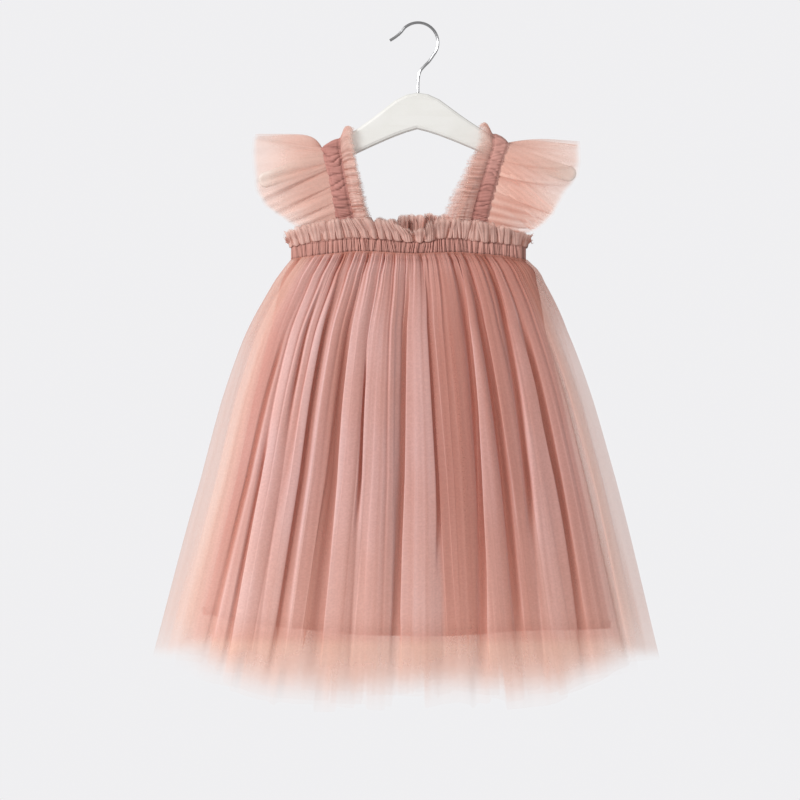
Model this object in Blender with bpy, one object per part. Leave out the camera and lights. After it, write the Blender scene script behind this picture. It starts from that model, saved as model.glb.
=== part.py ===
"""Girl's tulle princess dress, hung on its painted wooden hanger.

Units are metres, +Z is up and the front of the dress faces -Y. The origin is the
underside of the hook's bow, where a rail carries everything.

The dress is a stack of gathered skirts (two of tulle over a lining) under an elastic
band with a standing frill, and two ruched straps that pass over the hanger. Each strap
carries a narrow frill on its neck side and a flutter sleeve on its arm side.
"""
from collections import namedtuple
from math import cos, pi, radians, sin

import bmesh
import bpy
from mathutils import Vector

SEAM_GAP = 0.0003            # between two pieces that are sewn or rest together
FACING = {"front": -1, "back": 1}            # along Y

# Wire hook
WIRE_RADIUS = 0.0014
BOW_RADIUS = 0.020           # to the middle of the wire
BOW_CENTRE = Vector((0.0, 0.0, WIRE_RADIUS - BOW_RADIUS))
BOW_START, BOW_END = 150, -42    # degrees, from the lip over the crown to the neck
LIP = [(-0.0280, -0.0165), (-0.0225, -0.0130)]       # x, z before the bow
NECK = [(0.0110, -0.0375), (0.0060, -0.0425), (0.0020, -0.0475),
        (0.0004, -0.0540), (0.0000, -0.0620)]        # x, z after the bow
HOOK_POINTS = 46
STEM_DEPTH = 0.020           # of the wire's end in the hanger

# Hanger
HANGER_THICKNESS = 0.012
HANGER_CENTRE = -0.0008
HANGER_REACH = 0.1590        # from its centre to the tip of an arm
HANGER_TILT = 0.020          # rise per metre of run, left to right, as it swings on the rail
HANGER_EDGE = 0.0030         # rounding of its edges
Arm = namedtuple("Arm", "reach top bottom")
ARM = [
    Arm(0.000, -0.0690, -0.1050),
    Arm(0.012, -0.0712, -0.1083),
    Arm(0.022, -0.0762, -0.1118),
    Arm(0.032, -0.0838, -0.1158),
    Arm(0.042, -0.0914, -0.1200),
    Arm(0.052, -0.0985, -0.1244),
    Arm(0.064, -0.1066, -0.1298),
    Arm(0.078, -0.1160, -0.1356),
    Arm(0.100, -0.1262, -0.1442),
    Arm(0.125, -0.1355, -0.1525),
    Arm(0.150, -0.1450, -0.1606),
]

# Elastic band
CLOTH = 0.0010               # wall of one layer of tulle or lining
BAND_WALL = 0.0034           # two layers of cloth over elastic
BAND_LEFT, BAND_RIGHT = -0.1270, 0.1080
BAND_FRONT, BAND_BACK = 0.0175, 0.0150       # how far each side stands off the seams
ROUNDNESS = 2.5              # exponent of the superellipse that every ring follows
Edge = namedtuple("Edge", "across top bottom")
BAND_EDGE = [
    Edge(-1.00, -0.2220, -0.2360),
    Edge(-0.67, -0.2165, -0.2315),
    Edge(-0.42, -0.2145, -0.2292),
    Edge(0.06, -0.2182, -0.2315),
    Edge(0.33, -0.2150, -0.2300),
    Edge(0.77, -0.2195, -0.2330),
    Edge(1.00, -0.2230, -0.2370),
]

# Skirts. The rings give the outer tulle, and the others lie inside it.
SKIRT_DROP = 0.420           # band to hem, the unit that gathering and spreading follow
Ring = namedtuple("Ring", "z left right front back")
SKIRT_RINGS = [
    Ring(-0.2295, -0.1270, 0.1080, 0.0175, 0.0150),
    Ring(-0.2370, -0.1275, 0.1105, 0.0188, 0.0158),
    Ring(-0.2420, -0.1305, 0.1158, 0.0212, 0.0172),
    Ring(-0.2500, -0.1350, 0.1232, 0.0248, 0.0197),
    Ring(-0.2600, -0.1420, 0.1305, 0.0285, 0.0220),
    Ring(-0.2760, -0.1540, 0.1385, 0.0330, 0.0250),
    Ring(-0.3160, -0.1720, 0.1580, 0.0400, 0.0295),
    Ring(-0.3960, -0.2010, 0.1830, 0.0470, 0.0350),
    Ring(-0.4760, -0.2220, 0.2030, 0.0525, 0.0395),
    Ring(-0.5560, -0.2450, 0.2215, 0.0575, 0.0435),
    Ring(-0.6310, -0.2640, 0.2410, 0.0620, 0.0470),
    Ring(-0.6800, -0.2720, 0.2500, 0.0640, 0.0485),
]
LAYER_PITCH = CLOTH + 0.0009                 # layers at the band
FRONT_SPREAD, BACK_SPREAD = 0.0110, 0.0075   # how far layers part by the hem, in depth
SIDE_SPREAD = 0.0220                         # and at the side seams
Hem = namedtuple("Hem", "across z")
TOP_HEM = [
    Hem(-1.00, -0.6310), Hem(-0.82, -0.6330), Hem(-0.76, -0.6410), Hem(-0.62, -0.6425),
    Hem(-0.54, -0.6540), Hem(-0.25, -0.6585), Hem(0.00, -0.6600), Hem(0.12, -0.6550),
    Hem(0.22, -0.6555), Hem(0.34, -0.6605), Hem(0.55, -0.6585), Hem(0.74, -0.6480),
    Hem(0.86, -0.6350), Hem(1.00, -0.6335),
]
UNDER_HEM = [
    Hem(-1.00, -0.6430), Hem(-0.76, -0.6600), Hem(-0.58, -0.6720), Hem(-0.25, -0.6765),
    Hem(0.05, -0.6765), Hem(0.20, -0.6680), Hem(0.34, -0.6740), Hem(0.60, -0.6710),
    Hem(0.78, -0.6540), Hem(1.00, -0.6460),
]
LINING_HEM = [
    Hem(-1.00, -0.5920), Hem(-0.85, -0.6000), Hem(-0.50, -0.6070), Hem(-0.15, -0.6130),
    Hem(0.20, -0.6135), Hem(0.60, -0.6085), Hem(1.00, -0.6080),
]
# layer: order in from the outside, folds: share of the outer folds' depth
Layer = namedtuple("Layer", "name order hem folds rows colour")
LAYERS = [
    Layer("skirt_top_tulle", 0, TOP_HEM, 1.0,
          (0.0, 0.014, 0.05, 0.20, 0.55, 1.0), (0.80, 0.42, 0.36)),
    Layer("skirt_under_tulle", 1, UNDER_HEM, 0.7,
          (0.0, 0.014, 0.05, 0.20, 1.0), (0.72, 0.33, 0.27)),
    Layer("skirt_lining", 2, LINING_HEM, 0.4,
          (0.0, 0.014, 0.05, 1.0), (0.52, 0.20, 0.18)),
]
# Valleys between the rounded folds: place across the skirt (-1 and 1 are the side seams)
# at the band and at the hem, half width in the same unit, and depth at the hem.
Valley = namedtuple("Valley", "band hem width depth")
FRONT_VALLEYS = [
    Valley(-0.925, -0.930, 0.024, 0.0050),
    Valley(-0.800, -0.840, 0.028, 0.0070),
    Valley(-0.640, -0.630, 0.022, 0.0035),
    Valley(-0.550, -0.515, 0.036, 0.0100),
    Valley(-0.400, -0.330, 0.050, 0.0065),
    Valley(-0.235, -0.210, 0.022, 0.0080),
    Valley(-0.070, -0.065, 0.034, 0.0095),
    Valley(0.200, 0.215, 0.085, 0.0045),
    Valley(0.330, 0.335, 0.024, 0.0085),
    Valley(0.450, 0.455, 0.026, 0.0070),
    Valley(0.600, 0.560, 0.042, 0.0090),
    Valley(0.725, 0.710, 0.036, 0.0080),
    Valley(0.880, 0.900, 0.030, 0.0055),
]
BACK_VALLEYS = [
    Valley(-0.900, -0.910, 0.030, 0.0040),
    Valley(-0.730, -0.750, 0.034, 0.0060),
    Valley(-0.560, -0.545, 0.030, 0.0050),
    Valley(-0.370, -0.390, 0.040, 0.0065),
    Valley(-0.170, -0.150, 0.030, 0.0060),
    Valley(0.030, 0.050, 0.036, 0.0050),
    Valley(0.240, 0.225, 0.044, 0.0065),
    Valley(0.440, 0.460, 0.030, 0.0055),
    Valley(0.640, 0.630, 0.038, 0.0065),
    Valley(0.840, 0.860, 0.034, 0.0045),
]
SIDE_COLUMNS = (0.965, 0.993, 1.0)    # extra columns where a ring turns to its seam
VALLEY_TURNS = (-1.0, 0.0, 1.0)              # columns of one valley, in half widths
Place = namedtuple("Place", "band hem crest")
RIDGE_ROOM = 0.045           # a fold wider than this has a column along its crest
RIDGE_RISE = 0.0020          # how far that crest stands up by the hem

# Standing frill on the band
HEADER_RISE = 0.0170
HEADER_FLARE = 0.0050        # how far its free edge leans out, front and back
HEADER_SIDE_FLARE = 0.0085   # and at the sides
HEADER_WAVES = {"front": 13, "back": 11}
HEADER_WAVE = 0.0020
HEADER_BACK_LIFT = 0.0060    # the back of it stands higher

# Straps: from the front of the band over the hanger to its back
STRAP_WALL = 0.0024
STRAP_ROWS = 29
Station = namedtuple("Station", "inner outer y z")
LEFT_STRAP = [
    Station(-0.0630, -0.0812, 0.0122, -0.2135),
    Station(-0.0635, -0.0815, 0.0120, -0.1980),
    Station(-0.0680, -0.0850, 0.0115, -0.1770),
    Station(-0.0720, -0.0885, 0.0108, -0.1570),
    Station(-0.0752, -0.0930, 0.0104, -0.1380),
    Station(-0.0775, -0.0965, 0.0098, -0.1250),
]
RIGHT_STRAP = [
    Station(0.0515, 0.0690, 0.0122, -0.2155),
    Station(0.0525, 0.0695, 0.0120, -0.1980),
    Station(0.0575, 0.0745, 0.0115, -0.1770),
    Station(0.0635, 0.0795, 0.0108, -0.1570),
    Station(0.0695, 0.0850, 0.0104, -0.1370),
    Station(0.0740, 0.0905, 0.0098, -0.1230),
]
BACK_STRAP_LEAN = {"left": 0.004, "right": -0.016}   # sideways, at the back of the band
BACK_STRAP_TUCK = 0.0030     # and inward, behind the shallower back of the band
STRAP_CROWN = (0.0092, 0.0048, 0.0)          # y stations over the hanger's top edge
STRAP_SEAT = 0.0009          # clear of the hanger, whose edge bows under the strap
STRAP_CROWN_FALL = 0.0020    # from its top to the first of them

# Frill on the neck side of each strap
NECK_FRILL_WIDTH = 0.0115
NECK_FRILL_TILT = 0.0040     # its free edge stands forward of the strap
NECK_FRILL_PEAK = 0.0105     # its rise above the strap, over the shoulder
NECK_FRILL_ENDS = (2.0, 2.9)                 # rows from the strap's front and back ends
SHOULDER_REACH = 9.0         # rows from the crown to where it lies flat again
NECK_FRILL_WAVES = 9
NECK_FRILL_WAVE = 0.0014

# Flutter sleeves: ribs from the strap to the free edge, bottom to shoulder
Rib = namedtuple("Rib", "station x y z")     # station: along the strap, 7 is its crown
LEFT_SLEEVE = [
    Rib(1.0, -0.1180, 0.0200, -0.2045),
    Rib(1.7, -0.1350, 0.0235, -0.1930),
    Rib(2.3, -0.1520, 0.0250, -0.1835),
    Rib(3.0, -0.1610, 0.0250, -0.1690),
    Rib(3.6, -0.1640, 0.0240, -0.1500),
    Rib(4.3, -0.1655, 0.0215, -0.1290),
    Rib(5.2, -0.1645, 0.0140, -0.1160),
    Rib(7.0, -0.1630, 0.0000, -0.1105),
]
RIGHT_SLEEVE = [
    Rib(1.0, 0.1140, 0.0200, -0.2060),
    Rib(1.7, 0.1290, 0.0235, -0.1985),
    Rib(2.3, 0.1400, 0.0250, -0.1860),
    Rib(3.0, 0.1450, 0.0250, -0.1710),
    Rib(3.6, 0.1520, 0.0240, -0.1560),
    Rib(4.3, 0.1585, 0.0215, -0.1390),
    Rib(5.2, 0.1610, 0.0140, -0.1240),
    Rib(7.0, 0.1620, 0.0000, -0.1145),
]
SLEEVE_ENDS = (2.0, 3.0)     # strap rows from its front and back ends
SLEEVE_BACK_SHARE = 0.9      # the back half lies flatter
SLEEVE_BACK_RISE = 0.0060    # and its lower edge hangs this much higher
SLEEVE_WAVES = 3             # folds on each half
SLEEVE_WAVE = 0.0024         # their height at the free edge
SLEEVE_ARCH = 2.4            # how quickly the shoulder rises beside the strap
SLEEVE_SHOULDER = 0.012      # a rib that stands off less than this belongs to the shoulder


def smooth(keys, values, key):
    """Value at a key on a smooth curve through a table's rows, which never overshoots."""
    if keys[0] > keys[-1]:
        keys, values = keys[::-1], values[::-1]
    if key <= keys[0]:
        return values[0]
    if key >= keys[-1]:
        return values[-1]
    last = len(keys) - 1
    slopes = [(values[i + 1] - values[i]) / (keys[i + 1] - keys[i]) for i in range(last)]
    tangents = [slopes[0]]
    for before, after in zip(slopes, slopes[1:]):
        level = before * after <= 0
        tangents.append(0.0 if level else 2 * before * after / (before + after))
    tangents.append(slopes[-1])
    i = next(i for i in range(last) if key <= keys[i + 1])
    span = keys[i + 1] - keys[i]
    t = (key - keys[i]) / span
    return (values[i] * (2 * t**3 - 3 * t**2 + 1) + values[i + 1] * (3 * t**2 - 2 * t**3)
            + span * (tangents[i] * (t**3 - 2 * t**2 + t) + tangents[i + 1] * (t**3 - t**2)))


def column(rows, name, key_name, key):
    """Read one named column of a table at a key, smoothly between its rows."""
    keys = [getattr(row, key_name) for row in rows]
    values = [getattr(row, name) for row in rows]
    return smooth(keys, values, key)


def material(name, colour, roughness, metallic=0.0):
    made = bpy.data.materials.new(name)
    made.use_nodes = True
    shader = made.node_tree.nodes["Principled BSDF"]
    shader.inputs["Base Color"].default_value = (*colour, 1.0)
    shader.inputs["Roughness"].default_value = roughness
    shader.inputs["Metallic"].default_value = metallic
    return made


def add_object(name, mesh, finish):
    made = bpy.data.objects.new(name, mesh)
    bpy.context.scene.collection.objects.link(made)
    mesh.materials.append(finish)
    return made


def normal_at(point, u, v, u_range, v_range):
    """Unit normal of a surface, from short steps that stay on it."""
    step_u = 1e-4 * (u_range[1] - u_range[0])
    step_v = 1e-4 * (v_range[1] - v_range[0])
    along = (point(min(u + step_u, u_range[1]), v) - point(max(u - step_u, u_range[0]), v))
    down = (point(u, min(v + step_v, v_range[1])) - point(u, max(v - step_v, v_range[0])))
    return along.cross(down).normalized()


def wall(name, point, columns, rows, thickness, finish, flat_ends=False):
    """Closed wall of cloth: a surface, a second one behind it, and its four edges.

    point(u, v) gives the outer face. The second one is on the side that the cross product
    of u's and v's directions points to, or on the other for a negative thickness.
    flat_ends keeps the edge of the first and last column in one plane across Y.
    """
    u_range, v_range = (columns[0], columns[-1]), (rows[0], rows[-1])
    mesh_builder = bmesh.new()
    sheets = [[], []]
    for u in columns:
        lines = [[], []]
        for v in rows:
            outer = point(u, v)
            normal = normal_at(point, u, v, u_range, v_range)
            if flat_ends and u in u_range:
                normal.y = 0.0
                normal.normalize()
            lines[0].append(mesh_builder.verts.new(outer))
            lines[1].append(mesh_builder.verts.new(outer + normal * thickness))
        for sheet, line in zip(sheets, lines):
            sheet.append(line)
    outer, inner = sheets
    for i in range(len(columns) - 1):
        for j in range(len(rows) - 1):
            for sheet in sheets:
                mesh_builder.faces.new((sheet[i][j], sheet[i + 1][j],
                                        sheet[i + 1][j + 1], sheet[i][j + 1]))
    for i in range(len(columns) - 1):
        for j in (0, -1):
            mesh_builder.faces.new((outer[i][j], outer[i + 1][j], inner[i + 1][j], inner[i][j]))
    for j in range(len(rows) - 1):
        for i in (0, -1):
            mesh_builder.faces.new((outer[i][j], outer[i][j + 1], inner[i][j + 1], inner[i][j]))
    bmesh.ops.recalc_face_normals(mesh_builder, faces=mesh_builder.faces)
    mesh = bpy.data.meshes.new(name)
    mesh_builder.to_mesh(mesh)
    mesh_builder.free()
    mesh.shade_smooth()
    mesh.set_sharp_from_angle(angle=radians(50))
    return add_object(name, mesh, finish)


def ring_turn(across):
    """How far a ring stands off its seams, from 1 in the middle to 0 at a seam."""
    return max(0.0, 1 - abs(across) ** ROUNDNESS) ** (1 / ROUNDNESS)


def band_edge(across, name):
    return column(BAND_EDGE, name, "across", across)


# ---------------------------------------------------------------- hanger and hook

def hanger_edge(x, name):
    """Height of the hanger's top or bottom edge at x."""
    run = x - HANGER_CENTRE
    return column(ARM, name, "reach", abs(run)) + HANGER_TILT * run


def hanger_outline():
    """Points around the hanger: top edge, right tip, bottom edge, left tip."""
    last = ARM[-1]
    radius = (last.top - last.bottom) / 2
    straight = HANGER_REACH - radius
    steps = 28
    runs = [straight * (2 * i / steps - 1) for i in range(steps + 1)]
    tip = [pi / 2 - pi * i / 6 for i in range(1, 6)]
    outline = [(HANGER_CENTRE + run, hanger_edge(HANGER_CENTRE + run, "top")) for run in runs]
    for sign in (1, -1):
        centre_x = HANGER_CENTRE + sign * straight
        centre_z = (hanger_edge(centre_x, "top") + hanger_edge(centre_x, "bottom")) / 2
        outline += [(centre_x + sign * radius * cos(a), centre_z + sign * radius * sin(a))
                    for a in tip]
        if sign == 1:
            outline += [(HANGER_CENTRE + run, hanger_edge(HANGER_CENTRE + run, "bottom"))
                        for run in reversed(runs)]
    return outline


def build_hanger():
    mesh_builder = bmesh.new()
    front = [mesh_builder.verts.new((x, -HANGER_THICKNESS / 2, z)) for x, z in hanger_outline()]
    face = mesh_builder.faces.new(front)
    grown = bmesh.ops.extrude_face_region(mesh_builder, geom=[face])["geom"]
    moved = [item for item in grown if isinstance(item, bmesh.types.BMVert)]
    bmesh.ops.translate(mesh_builder, verts=moved, vec=(0, HANGER_THICKNESS, 0))
    bmesh.ops.recalc_face_normals(mesh_builder, faces=mesh_builder.faces)
    mesh = bpy.data.meshes.new("hanger")
    mesh_builder.to_mesh(mesh)
    mesh_builder.free()
    hanger = add_object("hanger", mesh, material("white_paint", (0.88, 0.88, 0.86), 0.45))
    bevel = hanger.modifiers.new("rounded edges", "BEVEL")
    bevel.width = HANGER_EDGE
    bevel.segments = 2
    bevel.limit_method = "ANGLE"
    bevel.angle_limit = radians(60)

    top = hanger_edge(0.0, "top")
    bpy.ops.mesh.primitive_cylinder_add(
        vertices=16, radius=WIRE_RADIUS + SEAM_GAP, depth=2 * (STEM_DEPTH + SEAM_GAP),
        location=(0, 0, top))
    drill = bpy.context.active_object
    drill.name = "drill"
    drill.hide_render = True
    drill.display_type = "WIRE"
    bore = hanger.modifiers.new("hole for the hook", "BOOLEAN")
    bore.operation = "DIFFERENCE"
    bore.solver = "EXACT"
    bore.object = drill


def hook_route():
    """Middle line of the wire, from its lip to its end in the hanger."""
    sweep = [radians(BOW_START + (BOW_END - BOW_START) * i / 10) for i in range(11)]
    bow = [(BOW_CENTRE.x + BOW_RADIUS * cos(a), BOW_CENTRE.z + BOW_RADIUS * sin(a))
           for a in sweep]
    end = (0.0, hanger_edge(0.0, "top") - STEM_DEPTH)
    guide = LIP + bow + NECK + [(0.0, (NECK[-1][1] + end[1]) / 2), end]
    keys = list(range(len(guide)))
    places = [(len(guide) - 1) * i / (HOOK_POINTS - 1) for i in range(HOOK_POINTS)]
    return [(smooth_along(keys, [p[0] for p in guide], k), 0.0,
             smooth_along(keys, [p[1] for p in guide], k)) for k in places]


def smooth_along(keys, values, key):
    """Catmull-Rom curve, for a route that turns back on itself."""
    last = len(keys) - 1
    i = min(int(key), last - 1)
    t = key - i
    before = values[max(i - 1, 0)]
    a, b = values[i], values[i + 1]
    after = values[min(i + 2, last)]
    return 0.5 * (2 * a + (b - before) * t + (2 * before - 5 * a + 4 * b - after) * t**2
                  + (3 * a - before - 3 * b + after) * t**3)


def build_hook():
    curve = bpy.data.curves.new("hook", "CURVE")
    curve.dimensions = "3D"
    curve.bevel_depth = WIRE_RADIUS
    curve.bevel_resolution = 2
    curve.use_fill_caps = True
    route = hook_route()
    spline = curve.splines.new("POLY")
    spline.points.add(len(route) - 1)
    for spot, place in zip(spline.points, route):
        spot.co = (*place, 1.0)
    curve.materials.append(material("bright_steel", (0.55, 0.55, 0.56), 0.25, 1.0))
    hook = bpy.data.objects.new("hook", curve)
    bpy.context.scene.collection.objects.link(hook)


# ---------------------------------------------------------------- skirts

def gathered(drop):
    """Share of its full depth that a fold has at a drop below the band (1 at the hem)."""
    return 1.12 * max(drop, 0.0) / (max(drop, 0.0) + 0.12)


def valley_depth(valleys, across, drop):
    """Depth of the folds' valleys at a place, and a small rise on the crests between."""
    depth = 0.0
    for valley in valleys:
        middle = valley.band + (valley.hem - valley.band) * min(drop, 1.0)
        away = abs(across - middle) / valley.width
        if away < 1:
            depth += valley.depth * (0.5 + 0.5 * cos(pi * away)) ** 0.7
    return depth * gathered(drop)


def skirt_columns(valleys):
    """Every column of a skirt panel: its place at the band, at the hem, and if it is a crest."""
    def side_columns(signs):
        return [Place(sign * side, sign * side, False) for sign, side in signs]

    def gap_column(before, after):
        """A column along the crest of a fold, where the fold is wide enough."""
        if after.band - before.band <= RIDGE_ROOM:
            return []
        return [Place((before.band + after.band) / 2, (before.hem + after.hem) / 2, True)]

    places = side_columns([(-1, side) for side in reversed(SIDE_COLUMNS)])
    for valley in valleys:
        turns = [Place(valley.band + share * valley.width, valley.hem + share * valley.width,
                       False) for share in VALLEY_TURNS]
        places += gap_column(places[-1], turns[0]) + turns
    far_side = side_columns([(1, side) for side in SIDE_COLUMNS])
    return places + gap_column(places[-1], far_side[0]) + far_side


def skirt_surface(layer, side):
    """Outer face of one skirt panel, as a function of column number and share of length."""
    valleys = FRONT_VALLEYS if side == "front" else BACK_VALLEYS
    spread = FRONT_SPREAD if side == "front" else BACK_SPREAD
    facing = FACING[side]
    places = skirt_columns(valleys)

    def point(number, share):
        low = min(int(number), len(places) - 2)
        part = number - low
        before, after = places[low], places[low + 1]
        place_band = before.band + (after.band - before.band) * part
        place_hem = before.hem + (after.hem - before.hem) * part
        top = band_edge(place_band, "bottom") - SEAM_GAP
        z = top + (column(layer.hem, "z", "across", place_hem) - top) * share
        drop = (top - z) / SKIRT_DROP
        across = place_band + (place_hem - place_band) * min(drop, 1.0)
        left, right, stand = (column(SKIRT_RINGS, name, "z", z)
                              for name in ("left", "right", side))
        half = (right - left) / 2 - layer.order * (LAYER_PITCH + SIDE_SPREAD * drop)
        crest = part if after.crest else (1 - part if before.crest else 0.0)
        stand -= layer.order * (LAYER_PITCH + spread * gathered(drop))
        stand -= layer.folds * valley_depth(valleys, across, drop)
        stand += layer.folds * RIDGE_RISE * crest * gathered(drop)
        x = (left + right) / 2 + half * across
        return Vector((x, facing * (SEAM_GAP / 2 + stand * ring_turn(across)), z))

    return point, list(range(len(places)))


def build_skirts():
    for layer in LAYERS:
        finish = material(layer.name, layer.colour, 0.9)
        for side, facing in FACING.items():
            point, numbers = skirt_surface(layer, side)
            wall(f"{layer.name}_{side}", point, numbers, layer.rows, -facing * CLOTH, finish,
                 flat_ends=True)


# ---------------------------------------------------------------- band and its frill

def band_surface(side):
    facing = FACING[side]
    stand = BAND_FRONT if side == "front" else BAND_BACK

    def point(across, share):
        x = (BAND_LEFT + BAND_RIGHT) / 2 + (BAND_RIGHT - BAND_LEFT) / 2 * across
        z = band_edge(across, "top") * (1 - share) + band_edge(across, "bottom") * share
        return Vector((x, facing * (SEAM_GAP / 2 + stand * ring_turn(across)), z))

    return point


def header_surface(side):
    """The standing frill: share 0 is its free edge and share 1 its seam on the band."""
    facing = FACING[side]
    stand = BAND_FRONT if side == "front" else BAND_BACK
    lift = HEADER_BACK_LIFT if side == "back" else 0.0

    def point(across, share):
        free = 1 - share
        wave = HEADER_WAVE * free * sin(pi * HEADER_WAVES[side] * (across + 0.12 * sin(5 * across)))
        lean = HEADER_FLARE * free**1.4 + wave
        half = (BAND_RIGHT - BAND_LEFT) / 2 + HEADER_SIDE_FLARE * free
        x = (BAND_LEFT + BAND_RIGHT) / 2 + half * across
        height = HEADER_RISE + lift * (1 - across**2) ** 2 - 0.004 * abs(across) ** 3
        z = band_edge(across, "top") + SEAM_GAP + height * free
        return Vector((x, facing * (SEAM_GAP / 2 + (stand + lean) * ring_turn(across)), z))

    return point


def build_band():
    finish = material("band_cloth", (0.55, 0.25, 0.20), 0.85)
    header_finish = material("frill_cloth", (0.70, 0.36, 0.30), 0.9)
    sides = [-place for place in reversed(SIDE_COLUMNS)]
    band_columns = sides + [i / 13 for i in range(-12, 13)] + list(SIDE_COLUMNS)
    for side, facing in FACING.items():
        steps = 4 * HEADER_WAVES[side]
        frill_columns = sides + [0.93 * (2 * i / steps - 1) for i in range(steps + 1)]
        frill_columns += list(SIDE_COLUMNS)
        wall(f"waistband_{side}", band_surface(side), band_columns, (0.0, 1.0),
             -facing * BAND_WALL, finish, flat_ends=True)
        wall(f"header_frill_{side}", header_surface(side), frill_columns, (0.0, 1.0),
             -facing * CLOTH, header_finish, flat_ends=True)


# ---------------------------------------------------------------- straps, frills, sleeves

def strap_share(stations, z):
    """Share of a strap's height below its shoulder, from 0 there to 1 at the band."""
    return max(0.0, (z - stations[-1].z) / (stations[0].z - stations[-1].z))


def strap_path(stations, name):
    """Stations of one strap from the front of the band over the hanger to the back."""
    def seat(x):
        return hanger_edge(x, "top") + STRAP_SEAT + STRAP_WALL / 2

    last = stations[-1]
    front = [(s.inner, s.outer, -s.y, s.z, s.z) for s in stations]
    crown = []
    for y in STRAP_CROWN:
        fall = STRAP_CROWN_FALL * (y / STRAP_CROWN[0]) ** 2
        crown.append((last.inner, last.outer, -y, seat(last.inner) - fall,
                      seat(last.outer) - fall))
    over = [(i, o, -y, zi, zo) for i, o, y, zi, zo in reversed(crown[:-1])]
    back = []
    for s in reversed(stations):
        share = strap_share(stations, s.z)
        lean = BACK_STRAP_LEAN[name] * share
        back.append((s.inner + lean, s.outer + lean, s.y - BACK_STRAP_TUCK * share, s.z, s.z))
    return front + crown + over + back


def lift(path, count):
    """Evenly numbered places along a strap's path, smooth between its stations."""
    keys = list(range(len(path)))
    return [tuple(smooth_along(keys, [row[c] for row in path], k) for c in range(5))
            for k in [(len(path) - 1) * i / (count - 1) for i in range(count)]]


def along(path, row):
    """Place on a strap at a row number, straight between its rows as its solid is."""
    low = min(int(row), len(path) - 2)
    part = row - low
    return [a + (b - a) * part for a, b in zip(path[low], path[low + 1])]


def strap_columns(path, ends, per_row):
    """Columns of a frill or sleeve along a strap's rows, from its front end to its back."""
    start, stop = ends[0], len(path) - 1 - ends[1]
    return [start + i / per_row for i in range(int(per_row * (stop - start)) + 1)]


def section_frame(rows, i):
    """Outward direction of a strap at row i, square to its path."""
    ahead, behind = rows[min(i + 1, len(rows) - 1)], rows[max(i - 1, 0)]
    run = Vector((0.0, ahead[2] - behind[2], (ahead[3] + ahead[4] - behind[3] - behind[4]) / 2))
    run.normalize()
    return Vector((0.0, -run.z, run.y))


def build_strap(name, path, finish):
    """A closed strip swept along the path, inner edge to outer edge across it."""
    mesh_builder = bmesh.new()
    sections = []
    for i, (inner, outer, y, z_inner, z_outer) in enumerate(path):
        out = section_frame(path, i) * STRAP_WALL / 2
        near, far = Vector((inner, y, z_inner)), Vector((outer, y, z_outer))
        corners = (near + out, far + out, far - out, near - out)
        sections.append([mesh_builder.verts.new(corner) for corner in corners])
    for a, b in zip(sections, sections[1:]):
        for k in range(4):
            mesh_builder.faces.new((a[k], a[(k + 1) % 4], b[(k + 1) % 4], b[k]))
    mesh_builder.faces.new(sections[0])
    mesh_builder.faces.new(sections[-1])
    bmesh.ops.recalc_face_normals(mesh_builder, faces=mesh_builder.faces)
    mesh = bpy.data.meshes.new(name)
    mesh_builder.to_mesh(mesh)
    mesh_builder.free()
    add_object(name, mesh, finish)


def neck_frill_surface(path, facing):
    """Frill beside a strap: u runs along the strap and v from the seam to the free edge."""
    middle = (len(path) - 1) / 2

    def point(u, v):
        inner, _, y, z, _ = along(path, u)
        shoulder = max(0.0, 1 - (abs(u - middle) / SHOULDER_REACH) ** 2)
        forward = -1 if y < 0 else 1
        wave = NECK_FRILL_WAVE * v * sin(pi * NECK_FRILL_WAVES * (u / middle - 1))
        upright = min(1.0, abs(y) / STRAP_CROWN[0])
        width = NECK_FRILL_WIDTH * (1 - 0.45 * shoulder)
        return Vector((inner + facing * (SEAM_GAP + width * v),
                       y + forward * upright * (NECK_FRILL_TILT * v + wave),
                       z + shoulder * (STRAP_WALL / 4 + NECK_FRILL_PEAK * v)))

    return point


def sleeve_surface(ribs, path, sign):
    """Flutter sleeve: u is a strap row, front to back, and v runs from strap to free edge."""
    crown_row = (len(path) - 1) / 2
    crown_station = ribs[-1].station

    def point(u, v):
        back = u > crown_row
        station = crown_station * (1 - abs(u - crown_row) / crown_row)
        _, outer, y, _, z = along(path, u)
        seam = Vector((outer + sign * SEAM_GAP, y, z))
        free = Vector(column(ribs, name, "station", station) for name in ("x", "y", "z"))
        free.y *= SLEEVE_BACK_SHARE if back else -1
        side = min(1.0, abs(free.y) / SLEEVE_SHOULDER)
        low = max(0.0, 1 - station / ribs[-3].station)
        spot = seam.lerp(free, v)
        wave = SLEEVE_WAVE * v * sin(pi * SLEEVE_WAVES * station / crown_station)
        spot.y += side * wave * (1 if back else -1)
        over = 1 - (1 - v) ** SLEEVE_ARCH
        spot.z += (1 - side) * (over - v) * (free.z - seam.z)
        if back:
            spot.z += SLEEVE_BACK_RISE * low * v
        return spot

    return point


def build_shoulders():
    strap_finish = material("strap_cloth", (0.50, 0.22, 0.20), 0.9)
    frill_finish = material("neck_frill_cloth", (0.68, 0.34, 0.29), 0.9)
    sleeve_finish = material("sleeve_tulle", (0.80, 0.42, 0.36), 0.9)
    for name, stations, ribs, facing in (("left", LEFT_STRAP, LEFT_SLEEVE, 1),
                                         ("right", RIGHT_STRAP, RIGHT_SLEEVE, -1)):
        path = lift(strap_path(stations, name), STRAP_ROWS)
        build_strap(f"strap_{name}", path, strap_finish)
        wall(f"neck_frill_{name}", neck_frill_surface(path, facing),
             strap_columns(path, NECK_FRILL_ENDS, 2), (0.0, 1.0), facing * CLOTH, frill_finish)
        wall(f"flutter_sleeve_{name}", sleeve_surface(ribs, path, -facing),
             strap_columns(path, SLEEVE_ENDS, 1), (0.0, 0.35, 0.7, 1.0), -facing * CLOTH,
             sleeve_finish)


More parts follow.
